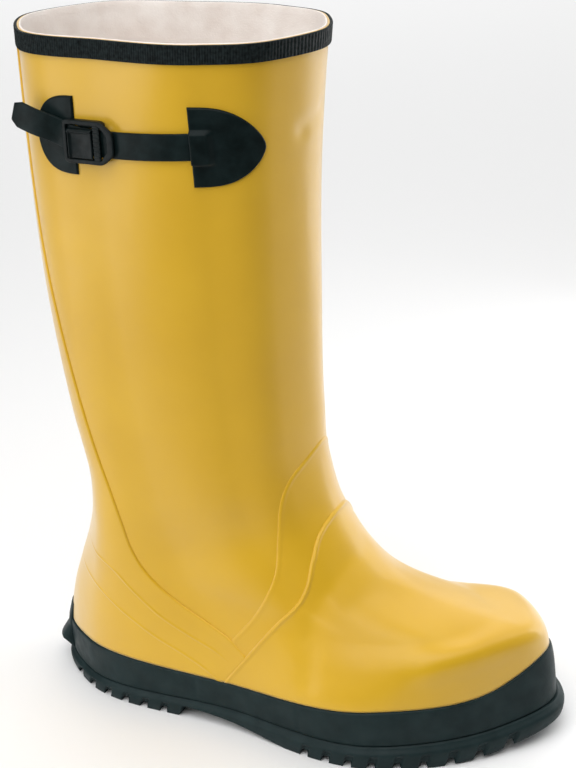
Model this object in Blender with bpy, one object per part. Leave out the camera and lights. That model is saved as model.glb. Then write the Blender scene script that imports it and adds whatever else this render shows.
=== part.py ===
"""Rubber overboot for the right foot, in one piece with its shaft, standing on its sole.

The boot faces +X, its outer side faces -Y and +Z is up.  Tables are in millimetres, with x measured
forward from the heel, y to the left and z up from the floor.  The finished boot is moved so that the
origin lies at the middle of its box, on the floor.
"""
import bpy
import bmesh
import numpy as np
from mathutils import Vector

MM = 0.001
GAP = 0.3
WALL = 2.4

# One row for each section of the upper, from its lower edge to the collar.  A section is a closed ring
# from a back point to a front point, with half widths to the outer and inner side at four stations between,
# and the drop of the ring below the straight line from back to front at three of them.
SECTION_COLUMNS = ("back_x", "back_z", "front_x", "front_z", "heel", "waist_out", "waist_in",
                   "ball_out", "ball_in", "toe_out", "toe_in", "swing", "waist_drop", "ball_drop", "toe_drop")
SECTIONS = {
    "feather_edge": (-18, 9, 303, 22, 36, 52, 38.5, 66.5, 54, 32, 43, 18, 1.5, 4.5, 3.5),
    "foxing_top": (-19, 31, 302, 55.5, 36.5, 53, 40, 68.5, 56, 33, 44.5, 18, 10.5, 12, 12.5),
    "toe_wall": (-14.5, 56.5, 295, 71, 37.5, 49.5, 41, 60, 51, 33.5, 44.5, 13, 7, 9.5, 3.5),
    "toe_top": (-6.5, 80, 268, 76, 38, 45.5, 41, 48, 44, 28.5, 31, 6, 1, 3.5, 3),
    "instep": (2.5, 104, 212.5, 92, 38, 45, 42, 44, 42, 28, 27, 2.5, 0, 0, 1.5),
    "throat": (8.5, 128, 177.5, 129, 38, 47, 45, 43.5, 43, 27, 28, 3, 0, 0, 0),
    "ankle": (9.5, 152.5, 166.5, 163.5, 38, 49, 47, 45, 44, 27, 28, 3, 0, 0, 0),
    "low_shaft": (0.5, 195.5, 164, 203, 38, 51, 50, 46, 46, 28, 28.5, 3, 0, 0, 0),
    "mid_shaft": (-10, 270, 164.5, 272, 39, 54, 54, 49, 49, 30, 30.5, 2.5, 0, 0, 0),
    "top_shaft": (-14.5, 349.5, 167, 352.5, 39.5, 56, 56.5, 53, 52.5, 33, 33, 2, 0, 0, 0),
    "collar": (-16, 432, 174.5, 432, 40, 56.5, 58, 58, 57.5, 36, 36, 0.5, 0, 0, 0),
}
# Stations back, heel, waist, ball, toe, front: share of the ring's way round, and of its length
ROUND_SHARE = np.array([0.0, 0.075, 0.216, 0.356, 0.447, 0.5])
LENGTH_SHARE = np.array([0.0, 0.10, 0.42, 0.74, 0.93, 1.0])

# Mesh of the upper: columns round a ring, and rings between one section and the next
COLUMNS = 52
RINGS_AFTER = {"feather_edge": 2, "foxing_top": 3, "toe_wall": 2, "toe_top": 3, "instep": 2, "throat": 2,
               "ankle": 2, "low_shaft": 2, "mid_shaft": 1, "top_shaft": 2}
STEP_CLEARANCE = 0.6

# Foxing: thickness at its top, and at its foot by station
FOXING_TOP = 2.0
FOXING_FOOT = np.array([2.4, 2.4, 3.0, 4.0, 4.8, 4.8])

# Outsole: how far its upper edge and its lip stand out beyond the foxing's foot, by station
SOLE_EDGE = np.array([0.2, 0.3, 0.4, 0.6, 1.0, 1.0])
SOLE_LIP = np.array([3.0, 2.8, 2.4, 4.0, 4.6, 5.2])
SOLE_TREAD_INSET = 1.0
LIP_TOP = 0.72
LIP_FOOT = 0.5
TOE_SPRING = 8.0
SPRING_START_X = 248.0
HEEL_BREAST_X = 82.0
BREAST_SLOPE = 3.0
ARCH_HEIGHT = 8.0
ARCH_END_X = 160.0
GROOVE_PITCH = 14.5
GROOVE_WIDTH = 4.2
GROOVE_DEPTH = 3.0
GROOVE_TAPER = 0.6
HEEL_GROOVES_X = -4.0
HEEL_GROOVES = 6
FOREFOOT_GROOVES_X = 172.0
FOREFOOT_GROOVES = 9
CENTRE_GROOVE_WIDTH = 5.0
CENTRE_GROOVE_DEPTH = 2.6
BELOW_FLOOR = -5.0

INSOLE_THICK = 3.5
INSOLE_CLEARANCE = 0.7

BAND_HEIGHT = 11.0
BAND_THICK = 1.5

# Layers on the upper: thickness, and their edges as side-view points (x, z) from the top down
LAYER_THICK = 0.9
VAMP_EDGE = ((178, 144), (172, 137.5), (168.7, 130.5), (168, 117), (167, 100.5), (164, 93), (153.5, 81),
             (129, 50), (106, 20))
QUARTER_EDGE = ((-4, 440), (0, 390), (6, 324), (18, 254), (37.5, 171), (43.5, 152), (50, 129), (55, 111.5),
                (62.5, 98), (73.5, 87), (88, 77), (105, 68), (119, 61), (127, 55))
LAYER_JOINT = 1.4
VAMP_SPAN = (0.17, 0.83)
QUARTER_SPAN = (0.73, 0.27)
BEYOND_TOE_X = 360.0
BEYOND_HEEL_X = -80.0

# Patches on the outer side: straight edge x, tip x, middle z, half height, and the powers of the tip's curve
ANCHOR_PATCH = dict(edge_x=116.0, tip_x=153.0, middle_z=374.5, half_height=23.0, roundness=3.0, point=0.62)
BUCKLE_PATCH = dict(edge_x=44.0, tip_x=17.5, middle_z=376.5, half_height=22.7, roundness=3.0, point=0.5)
PATCH_THICK = 1.2
PATCH_TIP_SHARE = 0.985
ANCHOR_BOX = dict(length=12.5, half_height=10.3, rise=2.2)

# Strap: width, thickness, and its run on the outer side as (x, z, height of its middle above the upper)
STRAP_WIDTH = 15.5
STRAP_THICK = 1.8
STRAP_RUN = ((115.2, 375.2, 1.35), (101, 374.6, 1.35), (85, 373.9, 1.4), (71, 373.6, 1.8), (62, 373.8, 2.5),
             (56, 374.2, 2.8), (50, 374.8, 2.95), (46, 375.4, 2.95), (43.4, 375.9, 2.95), (41.2, 376.5, 2.95),
             (38.8, 377.4, 3.0), (36.5, 378.4, 3.1), (34, 379.5, 3.7), (31, 380.9, 4.9), (27, 382.6, 6.6),
             (22, 384.7, 8.6), (17, 387, 10.4), (12.5, 389.2, 12))
STRAP_STATIONS = 39
TIP_CHAMFER = 4.0

# Buckle: middle on the outer side, size, and bars along its length (measured forward from the middle)
BUCKLE_X = 55.5
BUCKLE_Z = 374.5
BUCKLE_BASE = 2.0
BUCKLE_LENGTH = 33.0
BUCKLE_HEIGHT = 25.2
BUCKLE_THICK = 3.9
RAIL_WIDTH = 2.8
FRONT_CHAMFER = 6.0
REAR_BAR = (-16.5, -14.3)
RIBBED_BAR = (3.0, 7.6)
FRONT_BAR_BACK = 12.0
STRAP_CHANNEL = 2.4
CHANNEL_HALF_HEIGHT = 9.3
CORNER_CUT = -11.5
CORNER_CUT_TOP = 11.8
CUT_MARGIN = 1.0
PLATE_LENGTH = 16.4
PLATE_HEIGHT = 16.8
PLATE_THICK = 1.7
PLATE_BACK = -13.8
PLATE_DROP = 1.0
PLATE_LIFT = 2.6
PLATE_BEVEL = 0.5

# Heel kick: half width, and its section from the foot up as (share of the foxing's height, thickness)
KICK_HALF_WIDTH = 14.0
KICK_SECTION = ((0.04, 1.6), (0.32, 7.2), (0.40, 7.4), (0.78, 1.8), (1.0, 1.3))
KICK_TAB = 10.0
KICK_TAB_THICK = 0.8

YELLOW = (0.72, 0.44, 0.035)
BLACK = (0.016, 0.021, 0.022)
CREAM = (0.72, 0.62, 0.52)


def curve(knots, values, at):
    """Cubic through values at increasing knots, its slope at each the weighted mean of its two chords."""
    knots = np.asarray(knots, float)
    values = np.asarray(values, float)
    at = np.asarray(at, float)
    spread = (slice(None),) + (None,) * (values.ndim - 1)
    step = np.diff(knots)[spread]
    chord = np.diff(values, axis=0) / step
    slope = np.empty_like(values)
    slope[1:-1] = (chord[:-1] * step[1:] + chord[1:] * step[:-1]) / (step[:-1] + step[1:])
    slope[0] = 1.5 * chord[0] - 0.5 * slope[1]
    slope[-1] = 1.5 * chord[-1] - 0.5 * slope[-2]
    i = np.clip(np.searchsorted(knots, at, side="right") - 1, 0, len(knots) - 2)
    s = ((at - knots[i]) / np.diff(knots)[i])[spread]
    run = step[i]
    return ((2 * s**3 - 3 * s**2 + 1) * values[i] + (s**3 - 2 * s**2 + s) * run * slope[i]
            + (3 * s**2 - 2 * s**3) * values[i + 1] + (s**3 - s**2) * run * slope[i + 1])


def section_ring(row):
    """Ten points of one section: back, round the outer side to the front, and back along the inner side."""
    size = dict(zip(SECTION_COLUMNS, row))
    back = np.array([size["back_x"], 0, size["back_z"]])
    front = np.array([size["front_x"], 0, size["front_z"]])
    middle = back + LENGTH_SHARE[:, None] * (front - back)
    middle[:, 1] = size["swing"] * LENGTH_SHARE**2
    middle[:, 2] -= (0, 0, size["waist_drop"], size["ball_drop"], size["toe_drop"], 0)
    outer = middle.copy()
    inner = middle.copy()
    outer[:, 1] -= (0, size["heel"], size["waist_out"], size["ball_out"], size["toe_out"], 0)
    inner[:, 1] += (0, size["heel"], size["waist_in"], size["ball_in"], size["toe_in"], 0)
    return np.concatenate([outer, inner[-2:0:-1]])


RINGS = np.array([section_ring(row) for row in SECTIONS.values()])
RISE = np.linalg.norm(np.diff(RINGS, axis=0), axis=2).mean(axis=1)
SKIN_LENGTH = RISE.sum()
HEIGHT_SHARE = dict(zip(SECTIONS, np.concatenate([[0], np.cumsum(RISE)]) / SKIN_LENGTH))
FOXING_V = HEIGHT_SHARE["foxing_top"]
LAYER_V = FOXING_V + STEP_CLEARANCE / SKIN_LENGTH
BAND_V = 1 - BAND_HEIGHT / SKIN_LENGTH
LAYER_TOP_V = BAND_V - STEP_CLEARANCE / SKIN_LENGTH
AROUND = np.concatenate([ROUND_SHARE, 1 - ROUND_SHARE[-2:0:-1]])


def skin(u, v):
    """Point of the upper's outer face: u is the share of the way round from the back, v of the way up."""
    wrap = 3
    knots = np.concatenate([AROUND[-wrap:] - 1, AROUND, AROUND[:wrap] + 1])
    columns = np.concatenate([np.eye(len(AROUND))[-wrap:], np.eye(len(AROUND)), np.eye(len(AROUND))[:wrap]])
    u, v = np.broadcast_arrays(np.asarray(u, float), np.asarray(v, float))
    round_weight = curve(knots, columns, np.mod(u.ravel(), 1))
    rise_weight = curve(list(HEIGHT_SHARE.values()), np.eye(len(RINGS)), v.ravel())
    points = np.einsum("nk,nr,rkd->nd", round_weight, rise_weight, RINGS)
    return points.reshape(u.shape + (3,))


def outward(u, v):
    """Unit normal of the skin, level along the foxing and the collar, where pieces stand side by side."""
    reach = 1e-4
    across = skin(u + reach, v) - skin(u - reach, v)
    up = skin(u, np.minimum(v + reach, 1)) - skin(u, np.maximum(v - reach, 0))
    normal = np.cross(across, up)
    level = (v <= FOXING_V + 1e-9) | (v >= BAND_V - 1e-9)
    normal[..., 2] = np.where(level, 0, normal[..., 2])
    return normal / np.linalg.norm(normal, axis=-1, keepdims=True)


def lifted(u, v, height):
    """Points at a height above the skin."""
    u, v = np.broadcast_arrays(np.asarray(u, float), np.asarray(v, float))
    return skin(u, v) + outward(u, v) * np.broadcast_to(height, u.shape)[..., None]


def by_station(values, u):
    """Value between stations, the same on the outer and inner side."""
    u = np.mod(u, 1)
    return np.interp(np.minimum(u, 1 - u), ROUND_SHARE, values)


def outer_side(x, z):
    """Round and height shares of the point of the outer side that has this x and z."""
    x, z = np.broadcast_arrays(np.asarray(x, float), np.asarray(z, float))
    u = np.interp(x, (-17, 170), (0.03, 0.47))
    v = np.interp(z, (9, 432), (0, 1))
    reach = 1e-4
    for _ in range(12):
        here = skin(u, v)
        by_u = (skin(u + reach, v) - here) / reach
        by_v = (skin(u, v - reach) - here) / -reach
        turn = by_u[..., 0] * by_v[..., 2] - by_v[..., 0] * by_u[..., 2]
        miss_x = x - here[..., 0]
        miss_z = z - here[..., 2]
        u = np.clip(u + (miss_x * by_v[..., 2] - miss_z * by_v[..., 0]) / turn, 0.01, 0.49)
        v = np.clip(v + (miss_z * by_u[..., 0] - miss_x * by_u[..., 2]) / turn, 0, 1)
    return u, v


def rubber(name, colour, roughness):
    """Principled material with a colour and a roughness."""
    material = bpy.data.materials.new(name)
    material.use_nodes = True
    shader = material.node_tree.nodes["Principled BSDF"]
    shader.inputs["Base Color"].default_value = (*colour, 1)
    shader.inputs["Roughness"].default_value = roughness
    shader.inputs["Metallic"].default_value = 0
    return material


def solid(name, points, faces, colour=None, roughness=0.5):
    """Closed mesh object from points in millimetres, with its faces turned outwards."""
    mesh = bpy.data.meshes.new(name)
    mesh.from_pydata((np.asarray(points) * MM).tolist(), [], faces)
    work = bmesh.new()
    work.from_mesh(mesh)
    bmesh.ops.recalc_face_normals(work, faces=work.faces)
    work.to_mesh(mesh)
    work.free()
    piece = bpy.data.objects.new(name, mesh)
    bpy.context.scene.collection.objects.link(piece)
    piece.parent = BOOT
    if colour:
        mesh.materials.append(rubber(name, colour, roughness))
        mesh.shade_smooth()
        mesh.set_sharp_from_angle(angle=0.6)
    else:
        piece.hide_render = True
        piece.display_type = "WIRE"
    return piece


def sheet_faces(rows, columns, start, closed):
    """Triangles of a grid of points, closed round its columns or open, all cut along the same diagonal."""
    faces = []
    for row in range(rows - 1):
        for column in range(columns if closed else columns - 1):
            after = (column + 1) % columns
            a = start + row * columns + column
            b = start + row * columns + after
            faces.append((a, b, b + columns))
            faces.append((a, b + columns, a + columns))
    return faces


def thick_sheet(name, outer, inner, closed, colour=None, roughness=0.5):
    """Solid between two grids of points with the same rows and columns, with its rims filled."""
    rows, columns = outer.shape[:2]
    size = rows * columns
    faces = sheet_faces(rows, columns, 0, closed)
    faces += [face[::-1] for face in sheet_faces(rows, columns, size, closed)]
    rims = [[row * columns + column for column in range(columns)] for row in (0, rows - 1)]
    if not closed:
        rims += [[row * columns + column for row in range(rows)] for column in (0, columns - 1)]
    for rim in rims:
        ends = rim[1:] + rim[:1] if closed else rim[1:]
        for a, b in zip(rim, ends):
            faces.append((a, b, b + size, a + size))
    points = np.concatenate([outer.reshape(-1, 3), inner.reshape(-1, 3)])
    return solid(name, points, faces, colour, roughness)


def stacked_rings(name, rings, colour, roughness):
    """Solid of rings one above the other; each cap runs straight across from the outer to the inner side."""
    levels, columns = rings.shape[:2]
    half = columns // 2
    faces = sheet_faces(levels, columns, 0, True)
    for level in (0, levels - 1):
        start = level * columns
        faces.append((start, start + 1, start + columns - 1))
        for column in range(1, half - 1):
            near = (start + column, start + column + 1)
            far = (start + columns - column - 1, start + columns - column)
            faces.append(near + far)
        faces.append((start + half - 1, start + half, start + half + 1))
    return solid(name, rings.reshape(-1, 3), faces, colour, roughness)


def side_prism(name, outline, half_width=150.0):
    """Guide solid: a side-view outline (x, z) drawn out to both sides."""
    count = len(outline)
    points = [(x, y, z) for y in (-half_width, half_width) for x, z in outline]
    faces = [tuple(range(count)), tuple(range(count, 2 * count))]
    faces += [(i, (i + 1) % count, (i + 1) % count + count, i + count) for i in range(count)]
    return solid(name, points, faces)


def combine(piece, other, operation):
    """Boolean modifier on a piece."""
    cut = piece.modifiers.new(other.name, "BOOLEAN")
    cut.operation = operation
    cut.solver = "EXACT"
    cut.object = other


def smooth_line(points, count):
    """Points of a smooth curve through the given ones, spaced by its length."""
    points = np.asarray(points, float)
    along = np.concatenate([[0], np.cumsum(np.linalg.norm(np.diff(points, axis=0), axis=1))])
    return curve(along, points, np.linspace(0, along[-1], count))


def ring_shares():
    """Round shares of the columns and height shares of the rings of the upper."""
    shares = list(HEIGHT_SHARE.items())
    rings = []
    for (name, low), (_, high) in zip(shares[:-1], shares[1:]):
        rings += list(np.linspace(low, high, RINGS_AFTER[name], endpoint=False))
    rings += [LAYER_V, LAYER_TOP_V, BAND_V, 1.0]
    return np.arange(COLUMNS) / COLUMNS, np.array(sorted(rings))


def make_upper(u, v):
    """Foot and shaft in one shell, open at the collar and underneath."""
    grid_u, grid_v = np.meshgrid(u, v)
    return thick_sheet("upper", lifted(grid_u, grid_v, 0), lifted(grid_u, grid_v, -WALL), True, YELLOW, 0.35)


def make_layer(name, u, v, outline):
    """Layer on the upper: a sheet on the upper's own grid, cut to its side-view outline."""
    grid_u, grid_v = np.meshgrid(u, v)
    layer = thick_sheet(name, lifted(grid_u, grid_v, GAP + LAYER_THICK), lifted(grid_u, grid_v, GAP), False,
                        YELLOW, 0.35)
    combine(layer, side_prism(name + "_outline", outline), "INTERSECT")
    return layer


def make_foxing(u):
    """Band round the foot from the outsole to the foxing line, thicker at its foot."""
    v = np.linspace(0, FOXING_V, RINGS_AFTER["feather_edge"] + 1)
    grid_u, grid_v = np.meshgrid(u, v)
    outer = lifted(grid_u, grid_v, GAP + foxing_thickness(grid_u, grid_v))
    return thick_sheet("foxing", outer, lifted(grid_u, grid_v, GAP), True, BLACK, 0.55)


def foxing_thickness(u, v):
    """Thickness of the foxing, from its foot to its top."""
    share = np.clip(v / FOXING_V, 0, 1)
    return by_station(FOXING_FOOT, u) * (1 - share) + FOXING_TOP * share


def tread_height(x):
    """Height of the tread above the floor: level, then rising to the toe."""
    front = SECTIONS["feather_edge"][SECTION_COLUMNS.index("front_x")]
    return TOE_SPRING * np.clip((x - SPRING_START_X) / (front - SPRING_START_X), 0, None) ** 2


def make_outsole(u):
    """Tread plate with its lip, cut by the arch and the grooves between the lugs."""
    foot = GAP + by_station(FOXING_FOOT, u)
    edge = lifted(u, 0 * u, foot + by_station(SOLE_EDGE, u))
    lip_top = lifted(u, 0 * u, foot + by_station(SOLE_LIP, u))
    lip_foot = lip_top.copy()
    tread = lifted(u, 0 * u, foot + by_station(SOLE_LIP, u) - SOLE_TREAD_INSET)
    edge[:, 2] -= GAP
    tread[:, 2] = tread_height(tread[:, 0])
    thick = edge[:, 2] - tread[:, 2]
    lip_top[:, 2] = tread[:, 2] + LIP_TOP * thick
    lip_foot[:, 2] = tread[:, 2] + LIP_FOOT * thick
    plate = stacked_rings("outsole", np.array([tread, lip_foot, lip_top, edge]), BLACK, 0.6)
    combine(plate, arch_and_grooves(), "DIFFERENCE")
    combine(plate, centre_groove(), "DIFFERENCE")
    return plate


def groove_outline(x):
    """Section of one groove across the tread, square to the floor."""
    top = tread_height(x) + GROOVE_DEPTH
    end = x + GROOVE_WIDTH
    return [(x, BELOW_FLOOR), (end, BELOW_FLOOR), (end - GROOVE_TAPER, top), (x + GROOVE_TAPER, top)]


def arch_and_grooves():
    """Guide solid of the arch and of every groove across the tread."""
    sweep = np.linspace(0, 1, 9)
    arch_x = HEEL_BREAST_X + BREAST_SLOPE + sweep * (ARCH_END_X - HEEL_BREAST_X - BREAST_SLOPE)
    arch_z = ARCH_HEIGHT * (1 - sweep**1.6)
    breast = [(HEEL_BREAST_X, BELOW_FLOOR), (HEEL_BREAST_X, 0)]
    outlines = [breast + list(zip(arch_x, arch_z)) + [(ARCH_END_X, BELOW_FLOOR)]]
    outlines += [groove_outline(HEEL_GROOVES_X + i * GROOVE_PITCH) for i in range(HEEL_GROOVES)]
    outlines += [groove_outline(FOREFOOT_GROOVES_X + i * GROOVE_PITCH) for i in range(FOREFOOT_GROOVES)]
    guide = side_prism("arch_and_grooves", outlines[0])
    work = bmesh.new()
    work.from_mesh(guide.data)
    for outline in outlines[1:]:
        groove = side_prism("groove", outline)
        work.from_mesh(groove.data)
        bpy.data.objects.remove(groove)
    work.to_mesh(guide.data)
    work.free()
    return guide


def centre_groove():
    """Guide solid of the groove along the middle of the forefoot's tread."""
    x0 = FOREFOOT_GROOVES_X + GROOVE_WIDTH / 2
    x1 = FOREFOOT_GROOVES_X + (FOREFOOT_GROOVES - 1) * GROOVE_PITCH + GROOVE_WIDTH / 2
    runs = np.linspace(x0, x1, 8)
    top = [(x, tread_height(x) + CENTRE_GROOVE_DEPTH) for x in runs[::-1]]
    outline = [(x0, BELOW_FLOOR), (x1, BELOW_FLOOR)] + top
    return side_prism("centre_groove", outline, CENTRE_GROOVE_WIDTH / 2)


def make_insole(u):
    """Board on the outsole, inside the upper."""
    ring = lifted(u, 0 * u, -WALL - INSOLE_CLEARANCE)
    return stacked_rings("insole", np.array([ring, ring + (0, 0, INSOLE_THICK)]), CREAM, 0.9)


def make_collar_band(u):
    """Band round the outside of the collar."""
    grid_u, grid_v = np.meshgrid(u, (BAND_V, 1.0))
    outer = lifted(grid_u, grid_v, GAP + BAND_THICK)
    return thick_sheet("collar_band", outer, lifted(grid_u, grid_v, GAP), True, BLACK, 0.6)


def patch_points(patch, length_share, height_share, height):
    """Points of a patch: straight at one edge and rounded to its tip, at a height above the skin."""
    x = patch["edge_x"] + length_share * (patch["tip_x"] - patch["edge_x"])
    taper = np.maximum(1 - length_share ** patch["roundness"], 0) ** patch["point"]
    z = patch["middle_z"] + height_share * patch["half_height"] * taper
    return lifted(*outer_side(x, z), height)


def make_strap_anchor():
    """Spade-shaped patch, raised over the strap's end along its straight edge."""
    length = ANCHOR_PATCH["tip_x"] - ANCHOR_PATCH["edge_x"]
    box_share = ANCHOR_BOX["length"] / length
    along = np.concatenate([[0, box_share, box_share + 0.02], np.linspace(0.5, PATCH_TIP_SHARE, 6)])
    box = ANCHOR_BOX["half_height"] / ANCHOR_PATCH["half_height"]
    across = np.array([-1, -0.75, -box - 0.03, -box, 0, box, box + 0.03, 0.75, 1])
    share_x, share_z = np.meshgrid(along, across)
    raised = (share_x <= box_share + 1e-6) & (np.abs(share_z) <= box + 1e-6)
    top = GAP + PATCH_THICK + ANCHOR_BOX["rise"] * raised
    return thick_sheet("strap_anchor", patch_points(ANCHOR_PATCH, share_x, share_z, top),
                       patch_points(ANCHOR_PATCH, share_x, share_z, GAP), False, BLACK, 0.6)


def make_buckle_patch():
    """D-shaped patch behind the buckle."""
    along = np.append(np.linspace(0, 0.8, 5), (0.92, PATCH_TIP_SHARE))
    share_x, share_z = np.meshgrid(along, np.linspace(-1, 1, 8))
    return thick_sheet("buckle_patch", patch_points(BUCKLE_PATCH, share_x, share_z, GAP + PATCH_THICK),
                       patch_points(BUCKLE_PATCH, share_x, share_z, GAP), False, BLACK, 0.6)


def make_strap():
    """Strap from the anchor through the buckle, its free end standing off the shaft."""
    run = smooth_line(STRAP_RUN, STRAP_STATIONS)
    u, v = outer_side(run[:, 0], run[:, 1])
    middle = lifted(u, v, run[:, 2])
    along = np.gradient(middle, axis=0)
    along /= np.linalg.norm(along, axis=1)[:, None]
    side = np.cross(outward(u, v), along)
    side /= np.linalg.norm(side, axis=1)[:, None]
    face = np.cross(along, side)
    half = np.full(STRAP_STATIONS, STRAP_WIDTH / 2)
    half[-1] -= TIP_CHAMFER
    across = np.linspace(-1, 1, 3)[:, None, None] * half[None, :, None] * side[None]
    top = middle + across + face * STRAP_THICK / 2
    return thick_sheet("strap", top, top - face * STRAP_THICK, False, BLACK, 0.55)


def buckle_place(points):
    """Points given forward, up and outwards from the buckle's middle, set on the shaft."""
    u, v = outer_side(BUCKLE_X, BUCKLE_Z)
    out = outward(u, v)
    forward = np.cross(out, (0, 0, 1))
    forward *= np.sign(forward[0]) / np.linalg.norm(forward)
    up = np.cross(forward, out)
    up *= np.sign(up[2])
    return lifted(u, v, BUCKLE_BASE) + np.asarray(points, float) @ np.array([forward, up, out])


def buckle_prism(name, outline, low, high, colour=None):
    """Solid of an outline (forward, up) between two heights above the buckle's base."""
    count = len(outline)
    points = buckle_place([(x, z, h) for h in (low, high) for x, z in outline])
    faces = [tuple(range(count)), tuple(range(count, 2 * count))]
    faces += [(i, (i + 1) % count, (i + 1) % count + count, i + count) for i in range(count)]
    return solid(name, points, faces, colour, 0.45)


def box_outline(x0, x1, half_height, drop=0.0):
    """Outline of a rectangle about the buckle's middle line, or about a line a drop below it."""
    low = -half_height - drop
    high = half_height - drop
    return [(x0, low), (x1, low), (x1, high), (x0, high)]


def make_buckle():
    """Frame with two windows, open below for the strap, and the lever plate in it.

    The strap leaves upwards, so the cut below is taller at the frame's rear upper corner.
    """
    long = BUCKLE_LENGTH / 2
    tall = BUCKLE_HEIGHT / 2
    outline = [(-long, -tall), (long - FRONT_CHAMFER, -tall), (long, -tall + FRONT_CHAMFER),
               (long, tall - FRONT_CHAMFER), (long - FRONT_CHAMFER, tall), (-long, tall)]
    frame = buckle_prism("buckle_frame", outline, 0, BUCKLE_THICK, BLACK)
    window = tall - RAIL_WIDTH
    channel = CHANNEL_HALF_HEIGHT
    below = -CUT_MARGIN
    above = BUCKLE_THICK + CUT_MARGIN
    behind = -long - CUT_MARGIN
    ahead = long + CUT_MARGIN
    corner = (channel + CORNER_CUT_TOP) / 2
    corner_drop = (channel - CORNER_CUT_TOP) / 2
    for name, x0, x1, half, drop, low, high in (
            ("rear_window", REAR_BAR[1], RIBBED_BAR[0], window, 0, below, above),
            ("front_window", RIBBED_BAR[1], FRONT_BAR_BACK, window, 0, below, above),
            ("strap_channel", CORNER_CUT, ahead, channel, 0, below, STRAP_CHANNEL),
            ("corner_channel", behind, CORNER_CUT, corner, corner_drop, below, STRAP_CHANNEL)):
        combine(frame, buckle_prism(name, box_outline(x0, x1, half, drop), low, high), "DIFFERENCE")
    plate_outline = box_outline(PLATE_BACK, PLATE_BACK + PLATE_LENGTH, PLATE_HEIGHT / 2, PLATE_DROP)
    plate = buckle_prism("buckle_plate", plate_outline, PLATE_LIFT, PLATE_LIFT + PLATE_THICK, BLACK)
    bevel = plate.modifiers.new("edges", "BEVEL")
    bevel.width = PLATE_BEVEL * MM
    bevel.segments = 1
    return frame, plate


def make_heel_kick():
    """Ledge on the back of the foxing, with a thin tab on the upper above it."""
    heights = [share for share, _ in KICK_SECTION]
    reach = [thick for _, thick in KICK_SECTION]
    round_back = np.linspace(0, ROUND_SHARE[1], 40)
    reach_u = np.interp(KICK_HALF_WIDTH, -skin(round_back, FOXING_V)[:, 1], round_back)
    u = np.linspace(-reach_u, reach_u, 7)
    step = STEP_CLEARANCE / SKIN_LENGTH
    tab_top = LAYER_V + KICK_TAB / SKIN_LENGTH
    v = np.array([share * FOXING_V for share in heights] + [FOXING_V + step, tab_top])
    grid_u, grid_v = np.meshgrid(u, v)
    inner = GAP + foxing_thickness(grid_u, grid_v) + GAP
    outer = inner + np.array(reach + [reach[-1], reach[-1]])[:, None]
    inner[-1] = 2 * GAP + LAYER_THICK
    outer[-1] = inner[-1] + KICK_TAB_THICK
    return thick_sheet("heel_kick", lifted(grid_u, grid_v, outer), lifted(grid_u, grid_v, inner), False,
                       BLACK, 0.55)


def centre_on_floor():
    """Move the boot so that its box stands on the floor with its middle over the origin."""
    bpy.context.view_layer.update()
    graph = bpy.context.evaluated_depsgraph_get()
    corners = []
    for piece in BOOT.children:
        if piece.display_type != "WIRE":
            shown = piece.evaluated_get(graph)
            corners += [shown.matrix_world @ vertex.co for vertex in shown.data.vertices]
    low = np.min(corners, axis=0)
    high = np.max(corners, axis=0)
    BOOT.location = Vector((-(low[0] + high[0]) / 2, -(low[1] + high[1]) / 2, -low[2]))


for old in list(bpy.data.objects):
    bpy.data.objects.remove(old)
BOOT = bpy.data.objects.new("boot", None)
bpy.context.scene.collection.objects.link(BOOT)

ROUND, RISES = ring_shares()
make_outsole(ROUND)
make_foxing(ROUND)
make_heel_kick()
make_upper(ROUND, RISES)
LAYER_RISES = RISES[(RISES > FOXING_V + 1e-6) & (RISES < LAYER_TOP_V + 1e-6)]
FRONT_ROUND = ROUND[(ROUND > VAMP_SPAN[0]) & (ROUND < VAMP_SPAN[1])]
VAMP_RISES = LAYER_RISES[LAYER_RISES < HEIGHT_SHARE["ankle"]]
BACK_ROUND = np.concatenate([ROUND[ROUND > QUARTER_SPAN[0]] - 1, ROUND[ROUND < QUARTER_SPAN[1]]])
VAMP_LINE = smooth_line(VAMP_EDGE, 20)
QUARTER_LINE = smooth_line(QUARTER_EDGE, 28)
BELOW_JOINT = VAMP_LINE[VAMP_LINE[:, 1] < QUARTER_LINE[-1, 1] - 1] - (LAYER_JOINT, 0)
VAMP_FRONT = [(BEYOND_TOE_X, VAMP_LINE[-1, 1]), (BEYOND_TOE_X, VAMP_LINE[0, 1])]
QUARTER_BACK = [(BEYOND_HEEL_X, BELOW_JOINT[-1, 1]), (BEYOND_HEEL_X, QUARTER_LINE[0, 1])]
make_layer("vamp", FRONT_ROUND, VAMP_RISES, [*VAMP_LINE, *VAMP_FRONT])
make_layer("back_quarter", BACK_ROUND, LAYER_RISES, [*QUARTER_LINE, *BELOW_JOINT, *QUARTER_BACK])
make_insole(ROUND)
make_collar_band(ROUND)
make_strap_anchor()
make_buckle_patch()
make_strap()
make_buckle()
centre_on_floor()
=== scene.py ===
"""Looks of a tall rubber overboot for the right foot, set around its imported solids.

Sizes are in millimetres in the boot's own axes: x forward from the heel, y towards the inner side and z up
from the floor.  Shares round the boot start at the back and run by the outer side, and shares up it run
from the sole to the collar.
"""

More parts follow.
